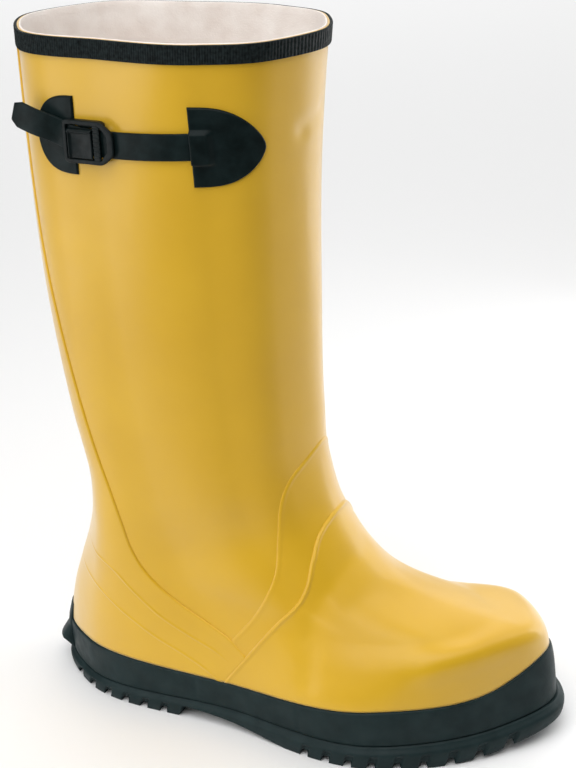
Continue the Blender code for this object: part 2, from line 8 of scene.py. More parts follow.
import bmesh
import bpy
import numpy as np
from mathutils import Matrix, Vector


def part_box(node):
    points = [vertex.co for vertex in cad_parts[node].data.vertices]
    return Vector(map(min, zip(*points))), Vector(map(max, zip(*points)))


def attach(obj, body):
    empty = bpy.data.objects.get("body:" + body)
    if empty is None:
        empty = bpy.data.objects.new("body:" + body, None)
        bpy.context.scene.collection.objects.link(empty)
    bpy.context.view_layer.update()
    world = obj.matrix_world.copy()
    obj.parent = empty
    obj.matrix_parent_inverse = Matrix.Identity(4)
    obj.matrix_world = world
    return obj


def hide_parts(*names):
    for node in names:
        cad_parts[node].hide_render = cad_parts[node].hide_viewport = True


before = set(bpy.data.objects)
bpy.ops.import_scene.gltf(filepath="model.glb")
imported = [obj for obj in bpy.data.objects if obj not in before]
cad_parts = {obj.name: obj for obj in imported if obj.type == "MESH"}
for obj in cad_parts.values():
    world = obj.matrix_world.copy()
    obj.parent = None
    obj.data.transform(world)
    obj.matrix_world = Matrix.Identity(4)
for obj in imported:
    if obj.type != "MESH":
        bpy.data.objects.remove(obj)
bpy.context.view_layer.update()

# Upper: foot and shaft in one shell of satin yellow rubber, laid up on a last and cured whole.
# Eleven sections shape it.  Each is a ring from a back point to a front point, with half widths to the
# outer and inner side at four stations between, and its drop below the middle line at three of them.
MM = 0.001
SECTION_COLUMNS = ("back_x", "back_z", "front_x", "front_z", "heel", "waist_out", "waist_in",
                   "ball_out", "ball_in", "toe_out", "toe_in", "swing", "waist_drop", "ball_drop", "toe_drop")
SECTIONS = {
    "feather_edge": (-18, 9, 303, 22, 36, 52, 38.5, 66.5, 54, 32, 43, 18, 1.5, 4.5, 3.5),
    "foxing_top": (-19, 31, 302, 55.5, 36.5, 53, 40, 68.5, 56, 33, 44.5, 18, 10.5, 12, 12.5),
    "toe_wall": (-14.5, 56.5, 295, 71, 37.5, 49.5, 41, 60, 51, 33.5, 44.5, 13, 7, 9.5, 3.5),
    "toe_top": (-6.5, 80, 268, 76, 38, 45.5, 41, 48, 44, 28.5, 31, 6, 1, 3.5, 3),
    "instep": (2.5, 104, 212.5, 92, 38, 45, 42, 44, 42, 28, 27, 2.5, 0, 0, 1.5),
    "throat": (8.5, 128, 177.5, 129, 38, 47, 45, 43.5, 43, 27, 28, 3, 0, 0, 0),
    "ankle": (9.5, 152.5, 166.5, 163.5, 38, 49, 47, 45, 44, 27, 28, 3, 0, 0, 0),
    "low_shaft": (0.5, 195.5, 164, 203, 38, 51, 50, 46, 46, 28, 28.5, 3, 0, 0, 0),
    "mid_shaft": (-10, 270, 164.5, 272, 39, 54, 54, 49, 49, 30, 30.5, 2.5, 0, 0, 0),
    "top_shaft": (-14.5, 349.5, 167, 352.5, 39.5, 56, 56.5, 53, 52.5, 33, 33, 2, 0, 0, 0),
    "collar": (-16, 432, 174.5, 432, 40, 56.5, 58, 58, 57.5, 36, 36, 0.5, 0, 0, 0),
}
# Stations back, heel, waist, ball, toe, front: share of the ring's way round, and of its length
ROUND_SHARE = np.array([0.0, 0.075, 0.216, 0.356, 0.447, 0.5])
LENGTH_SHARE = np.array([0.0, 0.10, 0.42, 0.74, 0.93, 1.0])
RUBBER_WALL = 1.3
RIM_BEVEL = 0.3
BAND_HEIGHT = 11.0
# Ridges, and soft troughs of negative height: a bell's width and height, then its line of points on the boot
CREASES = (
    (22, 1.6, (176, -18, 118), (190, -20, 102), (205, -25, 87), (220, -30, 79), (234, -31, 74)),
    (18, 0.8, (176, 24, 118), (190, 25, 103), (205, 25, 90), (222, 26, 83), (236, 29, 78)),
    (8, -0.9, (190, 4, 113), (182, -22, 107), (177, -38, 94), (174, -49, 73), (176, -60, 46)),
    (7, 0.9, (246, -40, 60), (256, -34, 65), (268, -23, 70), (278, -6, 74), (281, 4, 75)),
    (8, -0.6, (243, -45, 48), (268, -27, 52), (287, -8, 57)),
    (18, -1.8, (90, -46, 116), (126, -46, 127)),
    (18, -1.8, (90, 43, 116), (126, 45, 127)),
    (12, -1.0, (168, 34, 110), (160, 44, 84)),
    (6, -1.0, (170, 4, 386), (166, -13, 378)),
)
CREASE_FADE = 0.03
SLOPE_STEP = 1e-4
ROUNDING = 1e-9
WELD = 1e-6


def curve(knots, values, at):
    """Cubic through values at increasing knots, its slope at each the weighted mean of its two chords."""
    knots = np.asarray(knots, float)
    values = np.asarray(values, float)
    at = np.asarray(at, float)
    spread = (slice(None),) + (None,) * (values.ndim - 1)
    step = np.diff(knots)[spread]
    chord = np.diff(values, axis=0) / step
    slope = np.empty_like(values)
    slope[1:-1] = (chord[:-1] * step[1:] + chord[1:] * step[:-1]) / (step[:-1] + step[1:])
    slope[0] = 1.5 * chord[0] - 0.5 * slope[1]
    slope[-1] = 1.5 * chord[-1] - 0.5 * slope[-2]
    i = np.clip(np.searchsorted(knots, at, side="right") - 1, 0, len(knots) - 2)
    s = ((at - knots[i]) / np.diff(knots)[i])[spread]
    run = step[i]
    return ((2 * s**3 - 3 * s**2 + 1) * values[i] + (s**3 - 2 * s**2 + s) * run * slope[i]
            + (3 * s**2 - 2 * s**3) * values[i + 1] + (s**3 - s**2) * run * slope[i + 1])


def section_ring(row):
    """Ten points of one section: back, round the outer side to the front, and back along the inner side."""
    size = dict(zip(SECTION_COLUMNS, row))
    back = np.array([size["back_x"], 0, size["back_z"]])
    front = np.array([size["front_x"], 0, size["front_z"]])
    middle = back + LENGTH_SHARE[:, None] * (front - back)
    middle[:, 1] = size["swing"] * LENGTH_SHARE**2
    middle[:, 2] -= (0, 0, size["waist_drop"], size["ball_drop"], size["toe_drop"], 0)
    outer = middle.copy()
    inner = middle.copy()
    outer[:, 1] -= (0, size["heel"], size["waist_out"], size["ball_out"], size["toe_out"], 0)
    inner[:, 1] += (0, size["heel"], size["waist_in"], size["ball_in"], size["toe_in"], 0)
    return np.concatenate([outer, inner[-2:0:-1]])


RINGS = np.array([section_ring(row) for row in SECTIONS.values()])
RISE = np.linalg.norm(np.diff(RINGS, axis=0), axis=2).mean(axis=1)
SKIN_LENGTH = RISE.sum()
HEIGHT_SHARE = dict(zip(SECTIONS, np.concatenate([[0], np.cumsum(RISE)]) / SKIN_LENGTH))
FOXING_V = HEIGHT_SHARE["foxing_top"]
BAND_V = 1 - BAND_HEIGHT / SKIN_LENGTH
AROUND = np.concatenate([ROUND_SHARE, 1 - ROUND_SHARE[-2:0:-1]])


def skin(u, v):
    """Point of the upper's outer face: cubic curves round each section's points, then up the sections."""
    wrap = 3
    knots = np.concatenate([AROUND[-wrap:] - 1, AROUND, AROUND[:wrap] + 1])
    columns = np.concatenate([np.eye(len(AROUND))[-wrap:], np.eye(len(AROUND)), np.eye(len(AROUND))[:wrap]])
    u, v = np.broadcast_arrays(u, v)
    round_weight = curve(knots, columns, np.mod(u.ravel(), 1))
    rise_weight = curve(list(HEIGHT_SHARE.values()), np.eye(len(RINGS)), v.ravel())
    rings = (rise_weight @ RINGS.reshape(len(RINGS), -1)).reshape(-1, len(AROUND), 3)
    return np.einsum("nk,nkd->nd", round_weight, rings).reshape(u.shape + (3,))


def unit(vectors):
    """Vectors brought to length 1."""
    return vectors / np.linalg.norm(vectors, axis=-1, keepdims=True)


def outward(u, v):
    """Unit normal of the skin, level along the foxing and the collar, where pieces stand side by side."""
    across = skin(u + SLOPE_STEP, v) - skin(u - SLOPE_STEP, v)
    up = skin(u, np.minimum(v + SLOPE_STEP, 1)) - skin(u, np.maximum(v - SLOPE_STEP, 0))
    normal = np.cross(across, up)
    level = (v <= FOXING_V + ROUNDING) | (v >= BAND_V - ROUNDING)
    normal[..., 2] = np.where(level, 0, normal[..., 2])
    return unit(normal)


def distance_to_line(points, line):
    """Shortest distance from each point to a polyline, the foot of each perpendicular kept on its segment."""
    step = np.diff(line, axis=0)
    square = np.maximum((step**2).sum(axis=1), ROUNDING)
    points_at_once = 1500
    nearest = []
    for part in np.array_split(points, max(1, len(points) // points_at_once)):
        away = part[:, None] - line[:-1]
        share = np.clip((away * step).sum(axis=2) / square, 0, 1)
        nearest.append(np.linalg.norm(away - share[..., None] * step, axis=2).min(axis=1))
    return np.concatenate(nearest)


def crease_height(points, v):
    """Sum of the creases: height times a bell of the distance from the crease's line, over its width."""
    flat = points.reshape(-1, 3)
    total = np.zeros(len(flat))
    for width, height, *line in CREASES:
        total += height * np.exp(-(distance_to_line(flat, np.array(line, float)) / width) ** 2)
    fade = np.clip((v - FOXING_V) / CREASE_FADE, 0, 1) * np.clip((BAND_V - v) / CREASE_FADE, 0, 1)
    return total.reshape(points.shape[:-1]) * fade


def lifted(u, v, height):
    """Points at a height above the creased skin."""
    u, v = np.broadcast_arrays(u, v)
    points = skin(u, v)
    rise = np.broadcast_to(height, u.shape) + crease_height(points, v)
    return points + outward(u, v) * rise[..., None]


def grid_faces(rows, columns, closed_round=False, closed_up=False):
    """Corner numbers of the quads of a grid of points, closed round its columns or up its rows if asked."""
    row = np.arange(rows if closed_up else rows - 1)[:, None]
    column = np.arange(columns if closed_round else columns - 1)[None]
    after = (column + 1) % columns
    above = (row + 1) % rows
    corners = (row * columns + column, row * columns + after,
               above * columns + after, above * columns + column)
    return np.stack(np.broadcast_arrays(*corners), axis=-1).reshape(-1, 4)


ORIGIN = np.array([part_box("upper")[0].x - SECTIONS["foxing_top"][0] * MM,
                   (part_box("heel_kick")[0].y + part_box("heel_kick")[1].y) / 2, 0])


def place(name, points, faces, finish, slot, *nodes):
    """Mesh piece from boot points and faces, welded at its poles, riding on the boot in place of nodes."""
    mesh = bpy.data.meshes.new(name)
    spots = np.asarray(points).reshape(-1, 3) * MM + ORIGIN
    mesh.from_pydata(spots.tolist(), [], [list(face) for face in faces])
    work = bmesh.new()
    work.from_mesh(mesh)
    bmesh.ops.remove_doubles(work, verts=work.verts, dist=WELD)
    bmesh.ops.recalc_face_normals(work, faces=work.faces)
    work.to_mesh(mesh)
    work.free()
    mesh.shade_smooth()
    mesh.materials.append(finish)
    piece = bpy.data.objects.new(name, mesh)
    bpy.context.scene.collection.objects.link(piece)
    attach(piece, "root")
    if nodes:
        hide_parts(*nodes)
    return piece


def add_node(tree, kind, **values):
    """Node with values set on its sockets, or on the node where it has no such socket."""
    node = tree.nodes.new(kind)
    for name, value in values.items():
        socket = name.replace("_", " ").title()
        if socket in node.inputs:
            node.inputs[socket].default_value = value
        else:
            setattr(node, name, value)
    return node


def noise(tree, scale, detail=2.0):
    """Noise on the piece's own coordinates, with the scale in waves per metre."""
    place_node = add_node(tree, "ShaderNodeTexCoord")
    pattern = add_node(tree, "ShaderNodeTexNoise", scale=scale, detail=detail)
    tree.links.new(place_node.outputs["Object"], pattern.inputs["Vector"])
    return pattern.outputs["Fac"]


def spread_range(tree, value, low, high, start=0.3, end=0.7):
    """A pattern's middle stretch, from start to end, mapped to low and high."""
    node = add_node(tree, "ShaderNodeMapRange", from_min=start, from_max=end, to_min=low, to_max=high)
    tree.links.new(value, node.inputs["Value"])
    return node.outputs["Result"]


def blend_colours(tree, share, low, high):
    """Colour between two, by a share."""
    node = add_node(tree, "ShaderNodeMix", data_type="RGBA")
    sockets = [socket for socket in node.inputs if socket.type == "RGBA"]
    sockets[0].default_value = (*low, 1)
    sockets[1].default_value = (*high, 1)
    tree.links.new(share, node.inputs["Factor"])
    return [socket for socket in node.outputs if socket.type == "RGBA"][0]


def bump(tree, heights):
    """Bump through (pattern, depth in millimetres) pairs, one after the other."""
    normal = None
    for pattern, depth in heights:
        node = add_node(tree, "ShaderNodeBump", strength=1.0, distance=depth * MM)
        tree.links.new(pattern, node.inputs["Height"])
        if normal:
            tree.links.new(normal, node.inputs["Normal"])
        normal = node.outputs["Normal"]
    return normal


def finish(name, tones, tone_scale, roughness, rough_scale, heights, gloss=0.5, sheen=0.0):
    """Principled finish: two tones by a soft noise, a range of roughness, bump in layers, gloss and sheen.

    Each layer of bump has a scale in waves per metre, a detail and a depth in millimetres.
    """
    made = bpy.data.materials.new(name)
    made.use_nodes = True
    tree = made.node_tree
    shader = tree.nodes["Principled BSDF"]
    tone = spread_range(tree, noise(tree, tone_scale, detail=3.0), 0, 1)
    tree.links.new(blend_colours(tree, tone, *tones), shader.inputs["Base Color"])
    tree.links.new(spread_range(tree, noise(tree, rough_scale), *roughness), shader.inputs["Roughness"])
    layers = [(noise(tree, scale, detail), depth) for scale, detail, depth in heights]
    tree.links.new(bump(tree, layers), shader.inputs["Normal"])
    shader.inputs["Specular IOR Level"].default_value = gloss
    shader.inputs["Sheen Weight"].default_value = sheen
    return made


YELLOW_RUBBER = finish("yellow_rubber", tones=((0.69, 0.396, 0.006), (0.74, 0.436, 0.009)), tone_scale=18,
                       roughness=(0.29, 0.35), rough_scale=45,
                       heights=((32, 1.0, 0.25), (160, 1.0, 0.04), (2200, 1.0, 0.012)), gloss=0.42, sheen=0.5)

UPPER_COLUMNS = 260
UPPER_ROWS = 240
INSIDE_ROWS = 110
rim_v = 1 - RIM_BEVEL / SKIN_LENGTH
path_v = np.concatenate([np.linspace(0, rim_v, UPPER_ROWS), [1, 1], np.linspace(rim_v, 0, INSIDE_ROWS)])
path_height = np.concatenate([np.zeros(UPPER_ROWS), [-RIM_BEVEL, RIM_BEVEL - RUBBER_WALL],
                              np.full(INSIDE_ROWS, -RUBBER_WALL)])
round_u = np.arange(UPPER_COLUMNS) / UPPER_COLUMNS
place("upper_shell", lifted(round_u[None], path_v[:, None], path_height[:, None]),
      grid_faces(len(path_v), UPPER_COLUMNS, True, True), YELLOW_RUBBER, "yellow_rubber", "upper")

# Lining: brushed cotton cemented to the inside of the rubber before curing, its edge turned at the collar.
# It fills the wall's inner half from the collar down to the insole.
WALL = 2.4
LINING_GAP = 0.05
FOLD_RISE = 0.35
FOLD_ROWS = 7
COTTON = finish("lining_cotton", tones=((0.86, 0.775, 0.715), (0.99, 0.935, 0.885)), tone_scale=55,
                roughness=(0.85, 0.95), rough_scale=60,
                heights=((900, 3.0, 0.25), (2600, 2.0, 0.12), (60, 2.0, 0.6)), sheen=0.25)
back_height = -RUBBER_WALL - LINING_GAP
fold = np.linspace(0, np.pi, FOLD_ROWS)
fold_middle = (back_height - WALL) / 2
fold_height = fold_middle + (back_height - fold_middle) * np.cos(fold)
path_v = np.concatenate([np.linspace(0, 1, INSIDE_ROWS), np.ones(FOLD_ROWS), np.linspace(1, 0, INSIDE_ROWS)])
path_height = np.concatenate([np.full(INSIDE_ROWS, back_height), fold_height, np.full(INSIDE_ROWS, -WALL)])
path_rise = np.concatenate([np.zeros(INSIDE_ROWS), FOLD_RISE * np.sin(fold), np.zeros(INSIDE_ROWS)])
lining_points = lifted(round_u[None], path_v[:, None], path_height[:, None])
lining_points[..., 2] += path_rise[:, None]
place("lining", lining_points, grid_faces(len(path_v), UPPER_COLUMNS, True, True), COTTON, "lining_cotton")

# Vamp: a second layer of the same rubber over the foot, its edge sweeping from the foxing up to the throat.
# A thinner ply under it ends a finger's width further back and shows as a fainter step.
GAP = 0.3
LAYER_THICK = 0.9
PLY_THICK = 0.5
LAYER_EDGE = 1.3
BEAD_IN = 1.8
BEAD_SPREAD = 0.6
VAMP_BEAD = 0.6
PLY_BEAD = 0.2
EDGE_REACH = 12.0
EDGE_SAMPLES = 700
EDGE_START = 0.002
LAYER_SINK = 0.05
LAYER_CLEARANCE = 0.2
TOP_MARGIN = 1e-5
FOOT_ROWS = 150
VAMP_COLUMNS = 190
PLY_COLUMNS = 150
VAMP_EDGE = ((178, 144), (172, 137.5), (168.7, 130.5), (168, 117), (167, 100.5), (164, 93), (153.5, 81),
             (129, 50), (106, 20))
PLY_EDGE = ((168, 188), (164, 182), (161, 177), (154.6, 167), (151.4, 158), (149.8, 147.6), (149.4, 129),
            (148, 105), (136.5, 81), (120, 60), (102, 36), (88, 20))


def side_edge(edge):
    """Side-view x of a layer's edge, as a function of the height: a smooth curve through its points."""
    x, z = np.array(sorted(edge, key=lambda point: point[1])).T
    return lambda height: curve(z, x, np.clip(height, z[0], z[-1]))


def edge_shares(edge_at, v):
    """Round shares, outer and inner, where the skin at each height share crosses a side-view edge."""
    found = []
    outer_u = np.linspace(EDGE_START, 0.5, EDGE_SAMPLES)
    for u in (outer_u, 1 - outer_u):
        ring = skin(u[None], v[:, None])
        ahead = ring[..., 0] - edge_at(ring[..., 2])
        after = np.clip(np.argmax(ahead >= 0, axis=1), 1, len(u) - 1)
        row = np.arange(len(v))
        low = ahead[row, after - 1]
        high = ahead[row, after]
        share = np.clip(-low / (high - low), 0, 1)
        found.append(u[after - 1] + share * (u[after] - u[after - 1]))
    return found


def close_at_ends(count):
    """Shares from 0 to 1, by a cosine closer together towards both ends."""
    return 0.5 - 0.5 * np.cos(np.pi * np.linspace(0, 1, count))


def round_edge(distance, radius):
    """Height share of a rounded edge: a quarter circle over the radius, then level."""
    return np.sqrt(1 - (1 - np.clip(distance / radius, 0, 1)) ** 2)


def closed_sheet(top, under):
    """Points and faces of a sheet between two grids of points, with its rims filled."""
    rows, columns = top.shape[:2]
    size = rows * columns
    number = np.arange(size).reshape(rows, columns)
    border = np.concatenate([number[0, :-1], number[:-1, -1], number[-1, :0:-1], number[:0:-1, 0]])
    after = np.roll(border, -1)
    rim = np.stack([after, border, border + size, after + size], axis=1)
    faces = grid_faces(rows, columns)
    return (np.concatenate([top.reshape(-1, 3), under.reshape(-1, 3)]),
            np.concatenate([faces, faces[:, ::-1] + size, rim]))


def layer(edge_at, v, columns, thick, bead, over_front):
    """Layer on the skin from its edge on one side, round the front or the back, to its edge on the other.

    Its height is a rounded edge up to the thickness, plus a bead: a bell just inside the edge.
    """
    outer, inner = edge_shares(edge_at, v)
    start, end = (outer, inner) if over_front else (inner - 1, outer)
    u = start[:, None] + (end - start)[:, None] * close_at_ends(columns)
    v = np.broadcast_to(v[:, None], u.shape)
    base = skin(u, v)
    sides = [np.concatenate([base[:, 0], base[::-1, -1]])] if over_front else [base[:, 0], base[:, -1]]
    near = np.abs(base[..., 0] - edge_at(base[..., 2])) < EDGE_REACH
    distance = np.full(u.shape, EDGE_REACH)
    distance[near] = np.min([distance_to_line(base[near], side) for side in sides], axis=0)
    height = thick * round_edge(distance, LAYER_EDGE)
    height += bead * np.exp(-((distance / BEAD_IN - 1) / BEAD_SPREAD) ** 2)
    height[distance < WELD] = 0
    return closed_sheet(lifted(u, v, height), lifted(u, v, -LAYER_SINK))


def layer_rises(edge_at):
    """Height shares from the foxing to where the edge crosses the boot's front, closer towards the top."""
    v = np.linspace(FOXING_V, BAND_V, 2000)
    front = skin(0.5, v)
    top = v[np.argmax(front[:, 0] < edge_at(front[:, 2])) - 1]
    low = FOXING_V + LAYER_CLEARANCE / SKIN_LENGTH
    return low + (top - low) * np.sin(np.pi / 2 * np.arange(FOOT_ROWS) / (FOOT_ROWS - 1)) * (1 - TOP_MARGIN)


vamp_at = side_edge(VAMP_EDGE)
ply_at = side_edge(PLY_EDGE)
place("vamp_layer", *layer(vamp_at, layer_rises(vamp_at), VAMP_COLUMNS, GAP + LAYER_THICK, VAMP_BEAD, True),
      YELLOW_RUBBER, "yellow_rubber", "vamp")
place("vamp_ply", *layer(ply_at, layer_rises(ply_at), PLY_COLUMNS, PLY_THICK, PLY_BEAD, True),
      YELLOW_RUBBER, "yellow_rubber")

# Back quarter: a second layer round the heel and up the back of the shaft, its edge narrowing to the collar
# and tucked under the vamp near the foxing.  Two hidden plies at the heel print through as faint ridges.
QUARTER_TUCK = 1.6
LAYER_TOP_CLEARANCE = 0.6
QUARTER_EDGE = ((-4, 440), (0, 390), (6, 324), (18, 254), (37.5, 171), (43.5, 152), (50, 129), (55, 111.5),
                (62.5, 98), (73.5, 87), (88, 77), (105, 68), (119, 61), (127, 55), (160, 30))
HEEL_RIDGES = (
    ((6, 104), (17, 102.6), (37, 97), (53, 83), (70, 69), (91, 58), (109, 50.5), (121.5, 43.6)),
    ((-6, 84), (4, 82), (25, 77.4), (46.5, 65), (67, 53), (87.4, 44), (101, 37.4), (116, 28)),
)
RIDGE_HALF_WIDTH = 1.6
RIDGE_HEIGHT = 0.38
RIDGE_STATIONS = 140
RIDGE_COLUMNS = 11
RIDGE_FADE = 20
QUARTER_ROWS = 260
QUARTER_COLUMNS = 110
START_X = (-17, 170)
START_Z = (9, 432)
START_SHARES = (0.03, 0.47)
SIDE_LIMITS = (0.01, 0.49)
NEWTON_STEPS = 14


quarter_edge_at = side_edge(QUARTER_EDGE)


def quarter_at(z):
    """Side-view x of the back quarter's edge, which ends tucked under the vamp's."""
    return np.minimum(quarter_edge_at(z), vamp_at(z) + QUARTER_TUCK)


def side_shares(x, z, inner=False):
    """Round and height shares of the skin's point with this side-view x and z, by Newton steps."""
    x, z = np.broadcast_arrays(x, z)
    u = np.interp(x, START_X, START_SHARES)
    v = np.interp(z, START_Z, (0, 1))
    u = 1 - u if inner else u
    limits = (1 - SIDE_LIMITS[1], 1 - SIDE_LIMITS[0]) if inner else SIDE_LIMITS
    for _ in range(NEWTON_STEPS):
        here = skin(u, v)
        by_u = (skin(u + SLOPE_STEP, v) - here) / SLOPE_STEP
        by_v = (skin(u, v - SLOPE_STEP) - here) / -SLOPE_STEP
        turn = by_u[..., 0] * by_v[..., 2] - by_v[..., 0] * by_u[..., 2]
        miss_x = x - here[..., 0]
        miss_z = z - here[..., 2]
        u = np.clip(u + (miss_x * by_v[..., 2] - miss_z * by_v[..., 0]) / turn, *limits)
        v = np.clip(v + (miss_z * by_u[..., 0] - miss_x * by_u[..., 2]) / turn, 0, 1)
    return u, v


def way_along(points):
    """Length of the way along a line of points to each of them."""
    return np.concatenate([[0], np.cumsum(np.linalg.norm(np.diff(points, axis=0), axis=1))])


def smooth_line(points, count):
    """Points of a smooth curve through the given ones, spaced by its length."""
    way = way_along(points)
    return curve(way, points, np.linspace(0, way[-1], count))


def heel_ridge(line, inner):
    """Low rounded ridge along a side-view line: a cosine bell across, fading to nothing at its ends."""
    run = smooth_line(line, RIDGE_STATIONS)
    along = np.gradient(run, axis=0)
    square = unit(np.stack([-along[:, 1], along[:, 0]], axis=1))
    across = np.linspace(-1, 1, RIDGE_COLUMNS)
    side_view = run[:, None] + square[:, None] * (across * RIDGE_HALF_WIDTH)[None, :, None]
    u, v = side_shares(side_view[..., 0], side_view[..., 1], inner)
    station = np.arange(RIDGE_STATIONS)
    fade = np.clip(np.minimum(station, station[::-1]) / RIDGE_FADE, 0, 1)
    bell = RIDGE_HEIGHT * (0.5 + 0.5 * np.cos(np.pi * across))[None] * fade[:, None]
    base = GAP + LAYER_THICK - LAYER_SINK
    return closed_sheet(lifted(u, v, base + bell), lifted(u, v, base - LAYER_SINK))


def join(meshes):
    """One list of points and one of faces from several meshes, the later corner numbers moved on."""
    starts = np.cumsum([0] + [len(points) for points, _ in meshes])
    faces = [np.add(face, start) for (_, some), start in zip(meshes, starts) for face in some]
    return np.concatenate([points for points, _ in meshes]), faces


quarter_low = FOXING_V + LAYER_CLEARANCE / SKIN_LENGTH
quarter_high = BAND_V - LAYER_TOP_CLEARANCE / SKIN_LENGTH
quarter_v = np.linspace(quarter_low, quarter_high, QUARTER_ROWS)
quarter_meshes = [layer(quarter_at, quarter_v, QUARTER_COLUMNS, GAP + LAYER_THICK, 0, False)]
quarter_meshes += [heel_ridge(line, inner) for line in HEEL_RIDGES for inner in (False, True)]
place("quarter_layer", *join(quarter_meshes), YELLOW_RUBBER, "yellow_rubber", "back_quarter")

# Insole: a board covered with the lining's cotton, dropped in on the outsole.  The solid itself is shown,
# because only its upper face can be seen, deep inside the boot.
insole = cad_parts["insole"]
insole.data.materials.clear()
insole.data.materials.append(COTTON)

# Foxing: a broad black strip wrapped round the foot and cured on, thicker at its foot, with its top edge
# rolled and two lapped joints on the outer side.
FOXING_TOP = 2.0
FOXING_FOOT = np.array([2.4, 2.4, 3.0, 4.0, 4.8, 4.8])
FOXING_ROUND = 1.1
FOXING_COLUMNS = 640
FOXING_ROWS = 12
ROUND_ROWS = 6
LAP_U = (0.188, 0.289)
LAP_WIDTH = 0.0022
LAP_DEPTH = 0.35
SOLE_RUBBER = finish("sole_rubber", tones=((0.0065, 0.0165, 0.0175), (0.0125, 0.027, 0.0285)), tone_scale=70,
                     roughness=(0.45, 0.6), rough_scale=120,
                     heights=((90, 2.0, 0.12), (700, 2.0, 0.05), (3000, 1.0, 0.02)), gloss=0.18)


def by_station(values, u):
    """Value between stations, the same on the outer and inner side."""
    u = np.mod(u, 1)
    return curve(ROUND_SHARE, values, np.minimum(u, 1 - u))


def foxing_mesh():
    """Closed profile carried round the foot: up the outer face with rounded ends, and down the inner face.

    A point of the outer face has a share of the height, a rise beyond it and a height above the face.
    """
    u = np.arange(FOXING_COLUMNS) / FOXING_COLUMNS
    tall = np.linalg.norm(skin(u, FOXING_V) - skin(u, 0), axis=1)
    turn = np.linspace(0, np.pi / 2, ROUND_ROWS)
    fall = -FOXING_ROUND * (1 - np.sin(turn))
    rise = FOXING_ROUND * (1 - np.cos(turn))
    level = np.linspace(0, 1, FOXING_ROWS + 2)[1:-1]
    foot = np.stack([0 * turn, rise, fall], axis=1)
    face = np.stack([level, 0 * level, 0 * level], axis=1)
    head = np.stack([1 + 0 * turn, fall, -rise], axis=1)
    outer = np.concatenate([foot, face, head])
    share = outer[:, :1] + outer[:, 1:2] / tall
    thick = by_station(FOXING_FOOT, u)[None] * (1 - share) + FOXING_TOP * share
    lap = sum(np.exp(-((u - at) / LAP_WIDTH) ** 2) for at in LAP_U)
    outer_points = lifted(u[None], share * FOXING_V, GAP + thick + outer[:, 2:] - LAP_DEPTH * lap)
    inner_points = lifted(u[None], np.array([[1.0], [0.5], [0.0]]) * FOXING_V, GAP / 2)
    points = np.concatenate([outer_points, inner_points])
    return points, grid_faces(len(points), FOXING_COLUMNS, True, True)


place("foxing_strip", *foxing_mesh(), SOLE_RUBBER, "sole_rubber", "foxing")

# Outsole: a black tread plate with a lip that stands out beyond the foxing, most of all at the toe.
# Bars across the heel and forefoot are cut by square grooves, the forefoot's by a groove along its middle.
SOLE_EDGE = np.array([0.2, 0.3, 0.4, 0.6, 1.0, 1.0])
SOLE_LIP = np.array([3.0, 2.8, 2.4, 4.0, 4.6, 5.2])
SOLE_TREAD_INSET = 1.0
LIP_PROFILE = ((0, 0.0, 1.0), (0.14, 0.0, 0.55), (0.4, 0.0, 0.05), (0.62, 0.0, 0.0), (0.74, 0.12, 0.0),
               (0.84, 0.5, 0.0), (0.92, 0.85, 0.0), (1, 1.0, 0.0))
TOE_SPRING = 8.0
SPRING_START_X = 248.0
HEEL_BREAST_X = 82.0
BREAST_SLOPE = 3.0
ARCH_HEIGHT = 8.0
ARCH_END_X = 160.0
ARCH_POWER = 1.6
GROOVE_PITCH = 14.5
GROOVE_WIDTH = 5.4
GROOVE_DEPTH = 3.6
GROOVE_TAPER = 0.6
HEEL_GROOVES_X = -4.6
HEEL_GROOVES = 6
FOREFOOT_GROOVES_X = 171.4
FOREFOOT_GROOVES = 9
POCKET_DEPTH = 2.0
POCKET_TOP = 0.7
POCKET_FADE = 0.2
POCKET_SLANT = 4.0
CENTRE_GROOVE_WIDTH = 5.0
CENTRE_GROOVE_DEPTH = 2.6
CENTRE_LIMITS = (0.2, 0.8)
CENTRE_SHARE = 0.15
STATION_MARGIN = 0.5
SOLE_STATIONS = 600
SOLE_SAMPLES = 3000
WALL_ROWS = 16
TREAD_COLUMNS = 10
TOP_COLUMNS = 7
GROOVE_STARTS = np.concatenate([HEEL_GROOVES_X + GROOVE_PITCH * np.arange(HEEL_GROOVES),
                                FOREFOOT_GROOVES_X + GROOVE_PITCH * np.arange(FOREFOOT_GROOVES)])


def spring_height(x):
    """Height of the tread above the floor: level, then rising to the toe with the square of the way there."""
    front = SECTIONS["feather_edge"][SECTION_COLUMNS.index("front_x")]
    return TOE_SPRING * np.clip((x - SPRING_START_X) / (front - SPRING_START_X), 0, None) ** 2


def groove_share(x):
    """Trapezoids across the sole: 1 along each groove's floor, falling to 0 at its edges."""
    from_start = x[:, None] - GROOVE_STARTS
    return np.clip(np.minimum(from_start, GROOVE_WIDTH - from_start) / GROOVE_TAPER, 0, 1).max(axis=1)


def tread_relief(x):
    """Rise of the tread into the grooves and the arch, which falls forward from the breast by a power."""
    groove = GROOVE_DEPTH * groove_share(x)
    arch_start = HEEL_BREAST_X + BREAST_SLOPE
    sweep = np.clip((x - arch_start) / (ARCH_END_X - arch_start), 0, 1)
    arch = ARCH_HEIGHT * (1 - sweep**ARCH_POWER) * np.clip((x - HEEL_BREAST_X) / BREAST_SLOPE, 0, 1)
    return np.maximum(groove, arch)


